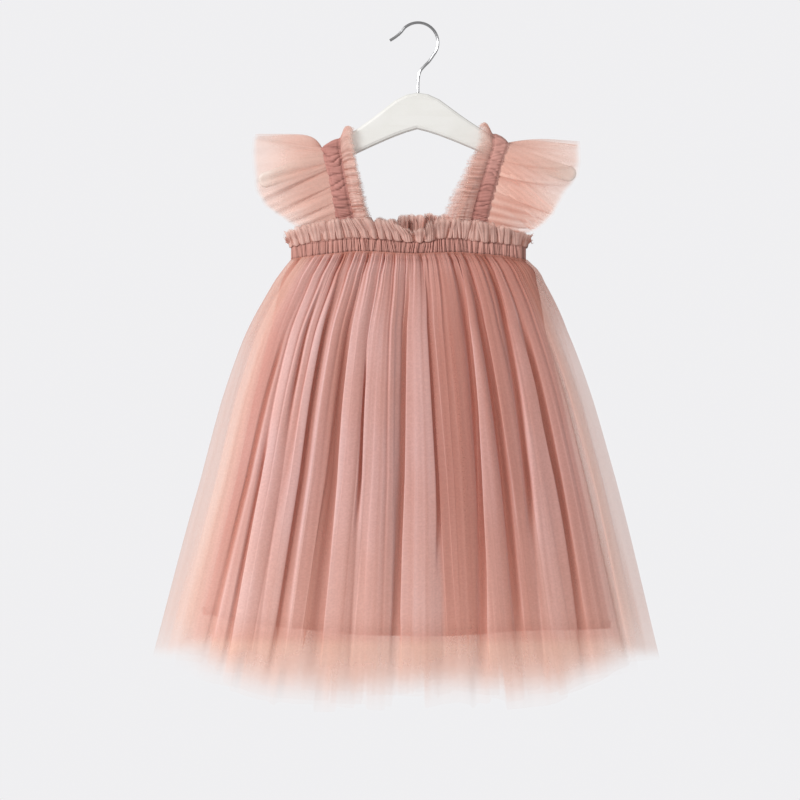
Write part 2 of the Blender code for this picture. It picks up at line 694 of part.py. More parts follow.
def clear_scene():
    for item in list(bpy.data.objects):
        bpy.data.objects.remove(item, do_unlink=True)


clear_scene()
build_hanger()
build_hook()
build_skirts()
build_band()
build_shoulders()
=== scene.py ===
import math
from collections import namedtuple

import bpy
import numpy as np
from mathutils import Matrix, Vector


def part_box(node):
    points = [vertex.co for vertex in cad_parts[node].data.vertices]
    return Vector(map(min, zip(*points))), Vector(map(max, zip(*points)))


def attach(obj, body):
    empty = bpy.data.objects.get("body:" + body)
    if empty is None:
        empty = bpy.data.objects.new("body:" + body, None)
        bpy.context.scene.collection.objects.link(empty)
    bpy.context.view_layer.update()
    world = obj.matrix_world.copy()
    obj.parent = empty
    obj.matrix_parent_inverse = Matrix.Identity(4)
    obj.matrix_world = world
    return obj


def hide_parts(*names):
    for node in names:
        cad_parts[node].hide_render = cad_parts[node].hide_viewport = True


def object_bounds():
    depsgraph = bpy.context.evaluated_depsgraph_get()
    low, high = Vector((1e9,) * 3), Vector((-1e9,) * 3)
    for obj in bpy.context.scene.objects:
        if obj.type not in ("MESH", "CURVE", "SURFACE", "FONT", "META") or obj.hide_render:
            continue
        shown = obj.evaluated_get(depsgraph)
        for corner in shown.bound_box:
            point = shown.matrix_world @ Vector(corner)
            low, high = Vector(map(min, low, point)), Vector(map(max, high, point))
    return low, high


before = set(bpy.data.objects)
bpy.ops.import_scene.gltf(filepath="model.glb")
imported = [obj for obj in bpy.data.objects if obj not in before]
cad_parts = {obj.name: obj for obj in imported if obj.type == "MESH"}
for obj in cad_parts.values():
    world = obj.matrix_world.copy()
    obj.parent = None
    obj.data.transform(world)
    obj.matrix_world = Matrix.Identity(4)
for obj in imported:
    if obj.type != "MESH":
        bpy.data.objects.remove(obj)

# %% [markdown]
# A girl's tulle dress hangs on a painted wooden hanger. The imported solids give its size:
# hanger, hook, and one plain wall for each cut piece of cloth. This lesson sews the looks
# around them. Every wall of cloth is replaced by a fine sheet that follows its solid, with
# the folds, gathers and raw edges of the real one, and the wood and the wire stay as they
# are and get a better finish.

X, Y, Z = 0, 1, 2
FACING = {"front": -1, "back": 1}            # along Y
CAD_LOW, CAD_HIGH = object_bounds()

# %% [markdown]
# A sheet has to sit where its solid sits. The form could be typed in again from a drawing,
# but then the two can drift apart. Here the solids are measured instead: a plane cuts a
# solid's edges, and the points where it does so give its width and depth at that place.

# %% Cut a solid with a plane


def section(node, axis, value):
    """Points where the plane axis = value cuts the edges of a solid."""
    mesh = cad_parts[node].data
    points = np.empty(3 * len(mesh.vertices))
    mesh.vertices.foreach_get("co", points)
    pairs = np.empty(2 * len(mesh.edges), int)
    mesh.edges.foreach_get("vertices", pairs)
    ends = points.reshape(-1, 3)[pairs.reshape(-1, 2)]
    a, b = ends[:, 0], ends[:, 1]
    cut = (a[:, axis] - value) * (b[:, axis] - value) < 0
    a, b = a[cut], b[cut]
    share = (value - a[:, axis]) / (b[:, axis] - a[:, axis])
    return a + (b - a) * share[:, None]


RING_SHARES = (0.055, 0.20, 0.55)            # of a skirt's height, where its solid has rows
EDGE_DIP = 0.009             # below a skirt solid's top, where it is whole all round


def ring_table(node, hem_step):
    """Left, right and depth of a skirt solid, between its uneven upper edge and hem."""
    low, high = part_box(node)
    inner = [high.z + (low.z - high.z) * share for share in RING_SHARES]
    heights = np.array([low.z + hem_step, *inner[::-1], high.z - EDGE_DIP])
    cuts = [section(node, Z, z) for z in heights]
    return {"z": heights,
            "left": np.array([c[:, X].min() for c in cuts]),
            "right": np.array([c[:, X].max() for c in cuts]),
            "stand": np.array([abs(c[:, Y]).max() for c in cuts])}


def smooth(keys, values, at):
    """A smooth curve through a few rows that never overshoots, straight on past its ends."""
    keys, values, at = np.asarray(keys), np.asarray(values), np.asarray(at, float)
    slopes = np.diff(values) / np.diff(keys)
    product = slopes[:-1] * slopes[1:]
    total = np.where(slopes[:-1] + slopes[1:] == 0, 1, slopes[:-1] + slopes[1:])
    tangents = np.concatenate([slopes[:1], np.where(product > 0, 2 * product / total, 0),
                               slopes[-1:]])
    i = np.clip(np.searchsorted(keys, at) - 1, 0, len(keys) - 2)
    span = keys[i + 1] - keys[i]
    t = np.clip((at - keys[i]) / span, 0, 1)
    inside = (values[i] * (2 * t**3 - 3 * t**2 + 1) + values[i + 1] * (3 * t**2 - 2 * t**3)
              + span * (tangents[i] * (t**3 - 2 * t**2 + t) + tangents[i + 1] * (t**3 - t**2)))
    return (inside + slopes[0] * np.minimum(at - keys[0], 0)
            + slopes[-1] * np.maximum(at - keys[-1], 0))


def read_ring(table, name, z):
    return smooth(table["z"], table[name], z)


band_low, band_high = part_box("waistband_front")
BAND_MIDDLE = (band_low.x + band_high.x) / 2
BAND_HALF = (band_high.x - band_low.x) / 2
SKIRT_DROP = band_high.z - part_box("skirt_top_tulle_front")[0].z
edge_places = np.linspace(-0.985, 0.985, 45)
edge_cuts = [section("waistband_front", X, BAND_MIDDLE + BAND_HALF * p) for p in edge_places]
BAND_TOP = np.array([c[:, Z].max() for c in edge_cuts])
BAND_FOOT = np.array([c[:, Z].min() for c in edge_cuts])

# %% [markdown]
# Cloth is a grid of points: columns run across it and rows run down. The grid also carries
# what the finish needs, so that it moves with the cloth: a UV map in metres of flat cloth,
# and a "cover" attribute, which says how much of the light a place stops. Sheer cloth stops
# more where it is bunched or seen along its fold, and that can be worked out once from the
# form itself.

# %% Turn a grid of points into a sheet


def unit(vectors):
    return vectors / np.maximum(np.linalg.norm(vectors, axis=-1, keepdims=True), 1e-12)


def grid_normals(points):
    """Unit normal at every point of a grid."""
    across = np.gradient(points, axis=1)
    down = np.gradient(points, axis=0)
    return unit(np.cross(down, across))


def flat_lengths(points):
    """Metres of cloth from the first column along each row, and from the top down."""
    across = np.linalg.norm(np.diff(points, axis=1), axis=2).mean(axis=0)
    down = np.linalg.norm(np.diff(points, axis=0), axis=2).mean(axis=1)
    return np.meshgrid(*(np.concatenate([[0], np.cumsum(run)]) for run in (across, down)))


def new_object(name, data):
    made = bpy.data.objects.new(name, data)
    bpy.context.scene.collection.objects.link(made)
    return made


def cloth_sheet(name, grids, finish, flip=False):
    """One object from grids of points. Each grid is (points, {attribute: values})."""
    corners, faces, flats, values, start = [], [], [], {}, 0
    for points, extras in grids:
        rows, columns = points.shape[:2]
        index = start + np.arange(rows * columns).reshape(rows, columns)
        quads = np.stack([index[:-1, :-1], index[1:, :-1], index[1:, 1:], index[:-1, 1:]], -1)
        faces.append(quads.reshape(-1, 4)[:, ::-1] if flip else quads.reshape(-1, 4))
        corners.append(points.reshape(-1, 3))
        u, v = flat_lengths(points)
        flats.append(np.stack([u.ravel(), v.ravel()], -1))
        for key, value in extras.items():
            values.setdefault(key, []).append(np.broadcast_to(value, (rows, columns)).ravel())
        start += rows * columns
    mesh = bpy.data.meshes.new(name)
    mesh.from_pydata(np.concatenate(corners), [], np.concatenate(faces))
    flat = np.concatenate(flats)
    loops = np.empty(len(mesh.loops), int)
    mesh.loops.foreach_get("vertex_index", loops)
    mesh.uv_layers.new(name="UVMap").data.foreach_set("uv", flat[loops].ravel())
    for key, value in values.items():
        attribute = mesh.attributes.new(key, "FLOAT", "POINT")
        attribute.data.foreach_set("value", np.concatenate(value).astype(np.float32))
    mesh.shade_smooth()
    mesh.materials.append(finish)
    return new_object(name, mesh)


def squeeze(points, most=2.0):
    """How many times thicker a sheet looks where it turns its edge to the front or back."""
    facing = abs(grid_normals(points)[:, :, Y])
    return 1 / np.maximum(facing, 1 / most)


def covered(share, times):
    """Light stopped by cloth that stops a share of it once, when it is passed many times."""
    return 1 - (1 - np.clip(share, 0, 0.98)) ** times


# %% [markdown]
# A finish is a small tree of nodes. One helper adds a node and fills its sockets, either
# with a plain value or with a link, and serves shaders and Geometry Nodes alike.

# %% Helper for node trees


def add(tree, kind, inputs=None, **settings):
    """Add a node. An input given as a socket is linked, and anything else is a value."""
    node = tree.nodes.new(kind)
    for name, value in settings.items():
        setattr(node, name, value)
    for key, value in (inputs or {}).items():
        if isinstance(value, bpy.types.NodeSocket):
            tree.links.new(value, node.inputs[key])
        else:
            node.inputs[key].default_value = value
    return node


def empty_finish(name):
    made = bpy.data.materials.new(name)
    made.use_nodes = True
    made.node_tree.nodes.clear()
    return made, made.node_tree


def finished(made, shader):
    add(made.node_tree, "ShaderNodeOutputMaterial", {"Surface": shader.outputs[0]})
    return made


def maths(tree, operation, a, b=0.0, clamp=False):
    node = add(tree, "ShaderNodeMath", {0: a, 1: b}, operation=operation, use_clamp=clamp)
    return node.outputs[0]


def stretch(tree, value, low, high, new_low, new_high):
    """Map low..high to new_low..new_high, clamped."""
    node = add(tree, "ShaderNodeMapRange", {"Value": value, "From Min": low, "From Max": high,
                                            "To Min": new_low, "To Max": new_high})
    return node.outputs["Result"]


def blend(tree, share, a, b):
    """A colour between two others."""
    node = add(tree, "ShaderNodeMix", data_type="RGBA")
    for socket, value in ((node.inputs[0], share), (node.inputs[6], a), (node.inputs[7], b)):
        if isinstance(value, bpy.types.NodeSocket):
            tree.links.new(value, socket)
        else:
            socket.default_value = (*value, 1.0) if isinstance(value, tuple) else value
    return node.outputs[2]


def tinge(tree, value, low, high, most, a, b):
    """Colour a, going over to b by up to a share as a value rises from low to high."""
    return blend(tree, stretch(tree, value, low, high, 0.0, most), a, b)


def attribute(tree, name):
    return add(tree, "ShaderNodeAttribute", attribute_name=name).outputs["Fac"]


def coordinates(tree, kind, scale):
    """Cloth or object coordinates, times a scale on each axis."""
    if kind == "cloth":
        source = add(tree, "ShaderNodeUVMap", uv_map="UVMap").outputs["UV"]
    else:
        source = add(tree, "ShaderNodeTexCoord").outputs["Object"]
    return add(tree, "ShaderNodeMapping", {"Vector": source, "Scale": scale}).outputs["Vector"]


EVEN = (1.0, 1.0, 1.0)


def noise(tree, detail, scale=1.0, along=EVEN, kind="object"):
    """Noise of one scale, times a factor along each axis."""
    node = add(tree, "ShaderNodeTexNoise", {"Vector": coordinates(tree, kind, along),
                                            "Scale": scale, "Detail": detail})
    return node.outputs["Fac"]


def waves(tree, kind, along, scale, distortion, direction):
    """Lines side by side, as threads lie."""
    node = add(tree, "ShaderNodeTexWave", {"Vector": coordinates(tree, kind, along),
                                           "Scale": scale, "Distortion": distortion},
               bands_direction=direction)
    return node.outputs["Fac"]


def bumped(tree, height, strength, distance):
    node = add(tree, "ShaderNodeBump", {"Height": height, "Strength": strength,
                                        "Distance": distance})
    return node.outputs[0]


def surface(tree, colour, roughness, more=None):
    """A shader for one surface. more gives further sockets by their names."""
    return add(tree, "ShaderNodeBsdfPrincipled",
               {"Base Color": colour, "Roughness": roughness, **(more or {})})


# %% [markdown]
# Tulle is a fine net of dyed thread. Seen flat it is more hole than thread, so what lies
# behind it shows through, a little tinted. Seen in bunches it turns pale and milky, because
# many threads catch the light one behind another. The finish mixes a tinted clear shader
# with a soft one by the "cover" of the place. Faint long streaks follow the creases, and a
# cell pattern of the net's own size breaks the surface up. Two more attributes paint light
# and shade into its colour: painted light where light comes through from behind ("lit"),
# and painted shade where a fold lies in the shade.

# %% Finish: tulle
TINT = (0.97, 0.78, 0.71)                    # of the light that comes through dense net
LIT = (0.94, 0.61, 0.49)                     # with light coming through from behind
DEEP = (0.56, 0.21, 0.15)                    # where only light from other folds arrives
NET_CELLS = 620.0                            # cells of the net in a metre


def tulle_finish(name, thin, thick, turn, streak=0.07, glow=LIT, deep=DEEP):
    """Net cloth. thin and thick are its colours where few and many threads are passed, and
    turn the covers between which the one becomes the other."""
    made, tree = empty_finish(name)
    cover, painted_shade, lit = (attribute(tree, key) for key in ("cover", "painted_shade", "lit"))
    crease = noise(tree, 3.0, along=(260.0, 5.0, 1.0), kind="cloth")
    patch = noise(tree, 4.0, along=(24.0, 24.0, 9.0))
    net = add(tree, "ShaderNodeTexVoronoi",
              {"Vector": coordinates(tree, "cloth", EVEN), "Scale": NET_CELLS},
              feature="SMOOTH_F1").outputs["Distance"]
    soft = maths(tree, "MULTIPLY", cover, stretch(tree, crease, 0.30, 0.70,
                                                  1 - streak, 1 + streak))
    soft = maths(tree, "MULTIPLY", soft, stretch(tree, net, 0.15, 0.75, 0.94, 1.06),
                 clamp=True)
    colour = tinge(tree, cover, *turn, 1.0, thin, thick)
    colour = tinge(tree, patch, 0.35, 0.65, 0.35, colour, tuple(0.9 * c for c in thin))
    # painted light where light comes through from behind, and painted shade in the folds
    colour = blend(tree, lit, colour, glow)
    colour = blend(tree, painted_shade, colour, deep)
    thread = surface(tree, colour, 0.82, {
        "Specular IOR Level": 0.2, "Sheen Weight": 0.2, "Sheen Roughness": 0.45,
        "Sheen Tint": (1.0, 0.93, 0.92, 1.0)})
    gap = add(tree, "ShaderNodeBsdfTransparent", {
        "Color": blend(tree, cover, (1.0, 1.0, 1.0), TINT)})
    return finished(made, add(tree, "ShaderNodeMixShader", {
        0: soft, 1: gap.outputs[0], 2: thread.outputs[0]}))


TOP_TULLE = tulle_finish("top_tulle", (0.81, 0.39, 0.31), (0.79, 0.52, 0.50), (0.32, 0.82))
UNDER_TULLE = tulle_finish("under_tulle", (0.81, 0.38, 0.30), (0.78, 0.46, 0.42), (0.40, 0.90))
print("tulle finishes:", TOP_TULLE.name, UNDER_TULLE.name)

# %% [markdown]
# The lining is plain woven cloth in a deeper rose, and the ruched band and straps are the
# same cloth. It stops all the light. Its weave is two sets of fine threads, and its colour
# is never quite even: broad soft patches, and a fine mottle of painted shadow, as the net
# above would cast. Painted shade darkens its folds, and painted light brightens it where
# light comes through.

# %% Finish: plain woven cloth


GLOW = (0.72, 0.42, 0.36)                    # of lining that light comes through
THREAD_STEP = 0.00045                        # from thread to thread


def woven_finish(name, colour, deep, crease):
    """Opaque cloth with a fine weave. deep is its colour in the darker patches and in the
    painted shadow of the net, and crease how far painted shade darkens it in a fold."""
    made, tree = empty_finish(name)
    patch = noise(tree, 5.0, 30.0)
    # painted shadow of the net above: a fine mottle
    painted_net_shadow = noise(tree, 3.0, 230.0, (1.0, 1.0, 0.7))
    share = maths(tree, "ADD", stretch(tree, patch, 0.35, 0.65, 0.0, 0.6),
                  stretch(tree, painted_net_shadow, 0.45, 0.62, 0.0, 0.35))
    shade = blend(tree, share, colour, deep)
    # painted shade in its folds, and painted light where light comes through it
    shade = tinge(tree, attribute(tree, "painted_shade"), 0.0, 1.0, crease, shade,
                  tuple(0.45 * c for c in deep))
    shade = blend(tree, attribute(tree, "lit"), shade, GLOW)
    warp, weft = (waves(tree, "cloth", along, math.pi / THREAD_STEP / 20, 0.4, direction)
                  for along, direction in (((1.0, 0.0, 0.0), "X"), ((0.0, 1.0, 0.0), "Y")))
    return finished(made, surface(tree, shade, 0.78, {
        "Specular IOR Level": 0.25, "Sheen Weight": 0.2, "Sheen Roughness": 0.5,
        "Sheen Tint": (1.0, 0.9, 0.88, 1.0),
        "Normal": bumped(tree, maths(tree, "ADD", warp, weft), 0.12, 0.0003)}))


LINING = woven_finish("lining", (0.50, 0.19, 0.155), (0.42, 0.15, 0.14), 0.3)
BAND_CLOTH = woven_finish("band_cloth", (0.60, 0.31, 0.26), (0.50, 0.225, 0.185), 0.8)
STRAP_CLOTH = woven_finish("strap_cloth", (0.54, 0.25, 0.215), (0.43, 0.18, 0.15), 0.8)
print("woven finishes:", LINING.name, BAND_CLOTH.name, STRAP_CLOTH.name)

# %% [markdown]
# Stitches and loose threads repeat along a line, so Geometry Nodes set them. One tree does
# both: it walks along the line at even steps and puts a short bent thread at each, turned to
# the line and to the outside of the cloth. A stitch lies along its seam, and a thread of a
# raw edge stands up from it, a little wild.

# %% Geometry Nodes: threads along a line
SOCKETS = {"Step": "NodeSocketFloat", "Start": "NodeSocketVector", "Middle": "NodeSocketVector",
           "End": "NodeSocketVector", "Radius": "NodeSocketFloat", "Wild": "NodeSocketVector",
           "Uneven": "NodeSocketFloat", "Seed": "NodeSocketInt", "Finish": "NodeSocketMaterial"}


def thread_tree():
    tree = bpy.data.node_groups.new("threads_along_a_line", "GeometryNodeTree")
    tree.interface.new_socket("Geometry", in_out="INPUT", socket_type="NodeSocketGeometry")
    for name, kind in SOCKETS.items():
        tree.interface.new_socket(name, in_out="INPUT", socket_type=kind)
    tree.interface.new_socket("Geometry", in_out="OUTPUT", socket_type="NodeSocketGeometry")
    given = add(tree, "NodeGroupInput").outputs
    line = add(tree, "GeometryNodeMeshToCurve", {"Mesh": given["Geometry"]})
    even = add(tree, "GeometryNodeResampleCurve",
               {"Curve": line.outputs[0], "Length": given["Step"]}, mode="LENGTH")
    places = add(tree, "GeometryNodeCurveToPoints", {"Curve": even.outputs[0]}, mode="EVALUATED")
    out = add(tree, "GeometryNodeInputNamedAttribute", {"Name": "out"}, data_type="FLOAT_VECTOR")
    turned = add(tree, "FunctionNodeAxesToRotation",
                 {"Primary Axis": out.outputs[0], "Secondary Axis": places.outputs["Tangent"]},
                 primary_axis="Z", secondary_axis="X")
    back = add(tree, "ShaderNodeVectorMath", {0: given["Wild"], "Scale": -1.0},
               operation="SCALE")
    angles = add(tree, "FunctionNodeRandomValue",
                 {0: back.outputs[0], 1: given["Wild"], "Seed": given["Seed"]},
                 data_type="FLOAT_VECTOR")
    wild = add(tree, "FunctionNodeEulerToRotation", {0: angles.outputs[0]})
    rotation = add(tree, "FunctionNodeRotateRotation",
                   {0: turned.outputs[0], 1: wild.outputs[0]}, rotation_space="LOCAL")
    least = maths(tree, "SUBTRACT", 1.0, given["Uneven"])
    most = maths(tree, "ADD", 1.0, given["Uneven"])
    size = add(tree, "FunctionNodeRandomValue", {2: least, 3: most, "Seed": given["Seed"]},
               data_type="FLOAT")
    bent = add(tree, "GeometryNodeCurveQuadraticBezier",
               {"Resolution": 2, **{key: given[key] for key in ("Start", "Middle", "End")}})
    ring = add(tree, "GeometryNodeCurvePrimitiveCircle",
               {"Resolution": 3, "Radius": given["Radius"]}, mode="RADIUS")
    thread = add(tree, "GeometryNodeCurveToMesh",
                 {"Curve": bent.outputs[0], "Profile Curve": ring.outputs[0]})
    placed = add(tree, "GeometryNodeInstanceOnPoints",
                 {"Points": places.outputs["Points"], "Instance": thread.outputs[0],
                  "Rotation": rotation.outputs[0], "Scale": size.outputs[1]})
    real = add(tree, "GeometryNodeRealizeInstances", {"Geometry": placed.outputs[0]})
    done = add(tree, "GeometryNodeSetMaterial",
               {"Geometry": real.outputs[0], "Material": given["Finish"]})
    add(tree, "NodeGroupOutput", {"Geometry": done.outputs[0]})
    return tree


THREADS = thread_tree()
STITCH = {"Step": 0.0026, "Start": (-0.0009, 0, 0), "Middle": (0, 0, 0.0006),
          "End": (0.0009, 0, 0), "Radius": 0.00014, "Wild": (0.05, 0.05, 0.15), "Uneven": 0.08,
          "Seed": 5}
RAW_THREAD = {"Step": 0.0008, "Start": (0, 0, -0.0003), "Middle": (0.0002, 0.0002, 0.0007),
              "End": (-0.0001, 0, 0.0015), "Radius": 0.00007, "Wild": (0.5, 0.6, 0.4),
              "Uneven": 0.45, "Seed": 9}
STITCH_LIFT = 0.0001         # of a stitch above the cloth
SHORT_THREAD = {**RAW_THREAD, "Middle": (0.0001, 0.0001, 0.0003), "End": (0, 0, 0.0007)}


def threads(name, lines, finish, sizes, slot_name):
    """A piece of threads along lines, each a row of points and its outward directions."""
    mesh = bpy.data.meshes.new(f"{name}_lines")
    ends = np.cumsum([len(points) for points, _ in lines])
    index = np.arange(ends[-1] - 1)
    edges = np.stack([index, index + 1], -1)[~np.isin(index + 1, ends[:-1])]
    mesh.from_pydata(np.concatenate([points for points, _ in lines]), edges, [])
    outs = np.concatenate([out for _, out in lines]).astype(np.float32)
    mesh.attributes.new("out", "FLOAT_VECTOR", "POINT").data.foreach_set("vector", outs.ravel())
    carrier = new_object(f"{name}_lines", mesh)
    modifier = carrier.modifiers.new("threads", "NODES")
    modifier.node_group = THREADS
    for item in THREADS.interface.items_tree:
        if item.in_out == "INPUT" and item.name in SOCKETS:
            modifier[item.identifier] = {**sizes, "Finish": finish}[item.name]
    evaluated = carrier.evaluated_get(bpy.context.evaluated_depsgraph_get())
    result = bpy.data.meshes.new_from_object(evaluated)
    bpy.data.objects.remove(carrier)
    result.name = name
    result.materials.clear()
    result.materials.append(finish)
    result.shade_smooth()
    made = new_object(name, result)
    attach(made, "root")
    print(name, "has", 2 * len(result.polygons), "triangles, finish", result.materials[0].name)
    return made


def thread_finish(name, colour, deep):
    made, tree = empty_finish(name)
    shade = tinge(tree, noise(tree, 2.0, 400.0), 0.35, 0.65, 1.0, colour, deep)
    twist = waves(tree, "object", EVEN, 900.0, 1.0, "DIAGONAL")
    return finished(made, surface(tree, shade, 0.7, {
        "Specular IOR Level": 0.3, "Normal": bumped(tree, twist, 0.2, 0.0001)}))


STITCH_THREAD = thread_finish("stitch_thread", (0.62, 0.33, 0.28), (0.50, 0.24, 0.20))
RAW_EDGE = thread_finish("raw_edge", (0.97, 0.76, 0.69), (0.90, 0.64, 0.57))

# %% [markdown]
# The skirt's folds are what the eye sees first. A gathered skirt doesn't ripple evenly: it
# falls in broad soft folds with narrow valleys between them, and the bank of a valley often
# leans over it, so that a crisp edge shows. A wave texture or a cloth simulation would give
# folds, but not in chosen places, so each large valley is listed: where it leaves the band,
# where it reaches the hem, how wide and deep it is, and how far each bank leans.

# %% The large valleys, one by one
# Places across are shares of half the skirt's width: -1 and 1 are its side seams. left and
# right say how far the banks lean over, before and after how many layers of cloth lie just
# left and right of the valley, start how far down it begins, end how far down it has closed
# again, and bend how soon it turns to its place at the hem (1 is a straight line).
Valley = namedtuple("Valley", "band hem width depth left right before after start end bend",
                    defaults=(2.0, 1.0))
FRONT_VALLEYS = [
    Valley(-0.930, -0.930, 0.020, 0.0030, 0.10, 0.15, 1.1, 1.5, 0.00),
    Valley(-0.735, -0.785, 0.018, 0.0026, 0.10, 0.08, 2.8, 4.0, 0.14),
    Valley(-0.712, -0.698, 0.014, 0.0030, 0.00, 0.42, 3.6, 7.0, 0.36),
    Valley(-0.628, -0.575, 0.015, 0.0046, 0.05, 0.05, 3.6, 4.2, 0.04, 0.45),
    Valley(-0.505, -0.508, 0.031, 0.0048, 0.24, 0.18, 4.6, 3.6, 0.00),
    Valley(-0.367, -0.350, 0.028, 0.0030, 0.00, 0.35, 1.3, 5.5, 0.00),
    Valley(-0.240, -0.215, 0.010, 0.0055, 0.32, 0.32, 2.9, 3.8, 0.20, 0.66),
    Valley(-0.014, -0.044, 0.025, 0.0019, 0.10, 0.42, 3.6, 4.8, 0.00, 0.98),
    Valley(0.132, 0.148, 0.024, 0.0027, 0.45, 0.00, 3.6, 1.7, 0.00, 0.74),
    Valley(0.387, 0.290, 0.026, 0.0070, 0.15, 0.40, 1.7, 3.2, 0.00),
    Valley(0.466, 0.448, 0.030, 0.0084, 0.20, 0.15, 2.5, 1.7, 0.00, 0.95),
    Valley(0.655, 0.522, 0.026, 0.0078, 0.12, 0.10, 2.6, 3.6, 0.00, 0.68, 0.60),
    Valley(0.722, 0.695, 0.030, 0.0042, 0.42, 0.10, 4.2, 2.3, 0.12),
    Valley(0.850, 0.872, 0.018, 0.0030, 0.35, 0.10, 5.0, 1.9, 0.15),
    Valley(0.930, 0.940, 0.018, 0.0020, 0.20, 0.10, 1.8, 1.2, 0.10),
]
BACK_VALLEYS = [
    Valley(-0.900, -0.910, 0.026, 0.0030, 0.15, 0.15, 1.4, 1.8, 0.00),
    Valley(-0.730, -0.750, 0.030, 0.0050, 0.40, 0.15, 2.6, 4.5, 0.00),
    Valley(-0.560, -0.545, 0.026, 0.0040, 0.15, 0.40, 2.2, 3.2, 0.10),
    Valley(-0.370, -0.390, 0.034, 0.0060, 0.42, 0.20, 1.7, 6.5, 0.00),
    Valley(-0.170, -0.150, 0.018, 0.0050, 0.20, 0.40, 3.2, 2.2, 0.25),
    Valley(0.030, 0.050, 0.032, 0.0045, 0.40, 0.15, 1.6, 5.0, 0.00),
    Valley(0.240, 0.225, 0.036, 0.0060, 0.15, 0.42, 3.6, 1.8, 0.00),
    Valley(0.440, 0.460, 0.024, 0.0045, 0.30, 0.20, 2.6, 6.5, 0.00),
    Valley(0.640, 0.630, 0.030, 0.0055, 0.20, 0.40, 3.4, 2.4, 0.00),
    Valley(0.840, 0.860, 0.026, 0.0035, 0.15, 0.15, 2.0, 1.4, 0.05),
]
VALLEYS = {"front": FRONT_VALLEYS, "back": BACK_VALLEYS}
# Deep creases right under the band, where two gathers have parted: place across, half width,
# and the drop over which they close
Notch = namedtuple("Notch", "place width length")
NOTCHES = {"front": [Notch(-0.540, 0.028, 0.085), Notch(-0.345, 0.014, 0.075),
                     Notch(0.622, 0.019, 0.260)],
           "back": [Notch(-0.380, 0.014, 0.080), Notch(0.440, 0.014, 0.060)]}
print("large valleys:", {side: len(rows) for side, rows in VALLEYS.items()})

# %% [markdown]
# Gathered cloth on elastic makes round pleats with sharp creases between them. The absolute
# value of a cosine has just that form: round tops and pointed feet. Its phase comes from
# uneven steps, so no two pleats are equally wide.

# %% Pleats of uneven width


def ease(low, high, value):
    """0 at low, 1 at high and beyond, and a smooth step between them."""
    t = np.clip((value - low) / (high - low), 0, 1)
    return t * t * (3 - 2 * t)


def bell(value, middle, width, power=2):
    """1 at the middle, and less on both sides of it."""
    return np.exp(-((value - middle) / width) ** power)


def pleat_phase(seed, length, step, least=0.45):
    """A function from metres along a seam to the phase of its pleats, pi for each. least is
    the narrowest pleat, as a share of the step."""
    random = np.random.default_rng(seed)
    ends = np.cumsum(random.uniform(least, 2 - least, int(length / step) + 3)) * step
    ends -= ends[0] + step
    return lambda place: np.interp(place, ends, math.pi * np.arange(len(ends)))


def pleats(phase, sharpness=0.7):
    """Height of the pleats from 0 in a crease to 1 on a crest."""
    return abs(np.sin(phase)) ** sharpness


def laid(phase, turned, steep=0.20):
    """Height of pleats laid to one side: a steep bank, and a long slope down to the next."""
    place = phase / math.pi % 1
    place = np.where(turned, 1 - place, place)
    return ease(0, steep, place) * ((1 - place) / (1 - steep / 2)) ** 0.6


# %% [markdown]
# Between the large valleys lie smaller ones, and right under the band the cloth is packed
# into fine gathers that melt away on their way down. These need no hand: they are drawn at
# random, from a fixed seed so that every run gives the same dress. The hem follows the
# folds too, because a fold that stands further out lifts its piece of the hem.

# %% Fold a sheet
CREST_RISE = 0.022           # metres, for a fold as wide as half the skirt
# How many layers of net seem to lie in a valley, at the band and near the hem
VALLEY_LAYERS, BAND_LAYERS, HEM_LAYERS = 1.0, 2.4, 1.12


def gathered(drop):
    """Share of its full depth that a fold has at a drop below the band (1 at the hem)."""
    return 1.12 * np.maximum(drop, 0) / (np.maximum(drop, 0) + 0.12)


def by_crease(random, phase, low, high, power=1.0):
    """A random value for every crease between pleats, blended from each to the next."""
    count = int(phase.max() / math.pi) + 2
    values = low + (high - low) * random.uniform(0, 1, count) ** power
    return np.interp(phase / math.pi, np.arange(count), values)


def small_valleys(seed, count, width, depth):
    """Random valleys between the large ones, at uneven steps."""
    random = np.random.default_rng(seed)
    steps = np.cumsum(random.uniform(0.5, 1.5, count + 1))
    places = 2 * steps[:-1] / steps[-1] - 1
    return [Valley(place, place + random.normal(0, 0.030), width * random.uniform(0.6, 1.5),
                   depth * random.uniform(0.3, 1.4), random.uniform(0, 0.22),
                   random.uniform(0, 0.22), 1, 1, random.uniform(-0.1, 0.3))
            for place in places]


def middle_of(valley, drop):
    return valley.band + (valley.hem - valley.band) * np.clip(drop, 0, 1) ** valley.bend


def begun(valley, drop):
    """How far open a valley is at a drop: 0 before its start and after its end."""
    opening = ease(valley.start, valley.start + 0.12, drop) if valley.start > 0 else 1.0
    return opening * (1 - ease(valley.end - 0.20, valley.end, drop))


def fold(across, drop, valleys, reach, grown):
    """Depth of the valleys at each place, and the shift of the cloth towards their banks."""
    depth, shift = np.zeros_like(across), np.zeros_like(across)
    for valley in valleys:
        away = np.clip((across - middle_of(valley, drop)) / (reach * valley.width), -1, 1)
        depth += valley.depth * np.cos(math.pi * away / 2) ** 2 * begun(valley, drop)
        lean = np.where(away < 0, valley.left, valley.right) * begun(valley, drop)
        shift += reach * valley.width * lean * np.sin(2 * math.pi * away)
    return depth * grown, shift * np.minimum(grown, 1.0)


def notched(across, drop, notches):
    """How deep in a notch each place lies, from 0 to 1."""
    return sum(bell(across, notch.place, notch.width) * bell(drop, 0, notch.length)
               for notch in notches)


def roundness(across, drop, valleys):
    """Rise of each fold's crest between its two valleys, higher on a wider fold."""
    rise = np.zeros_like(across)
    for before, after in zip(valleys, valleys[1:]):
        a, b = middle_of(before, drop), middle_of(after, drop)
        share = np.clip((across - a) / (b - a), 0, 1)
        rise += CREST_RISE * (b - a) * 4 * share * (1 - share)
    return rise * gathered(drop)


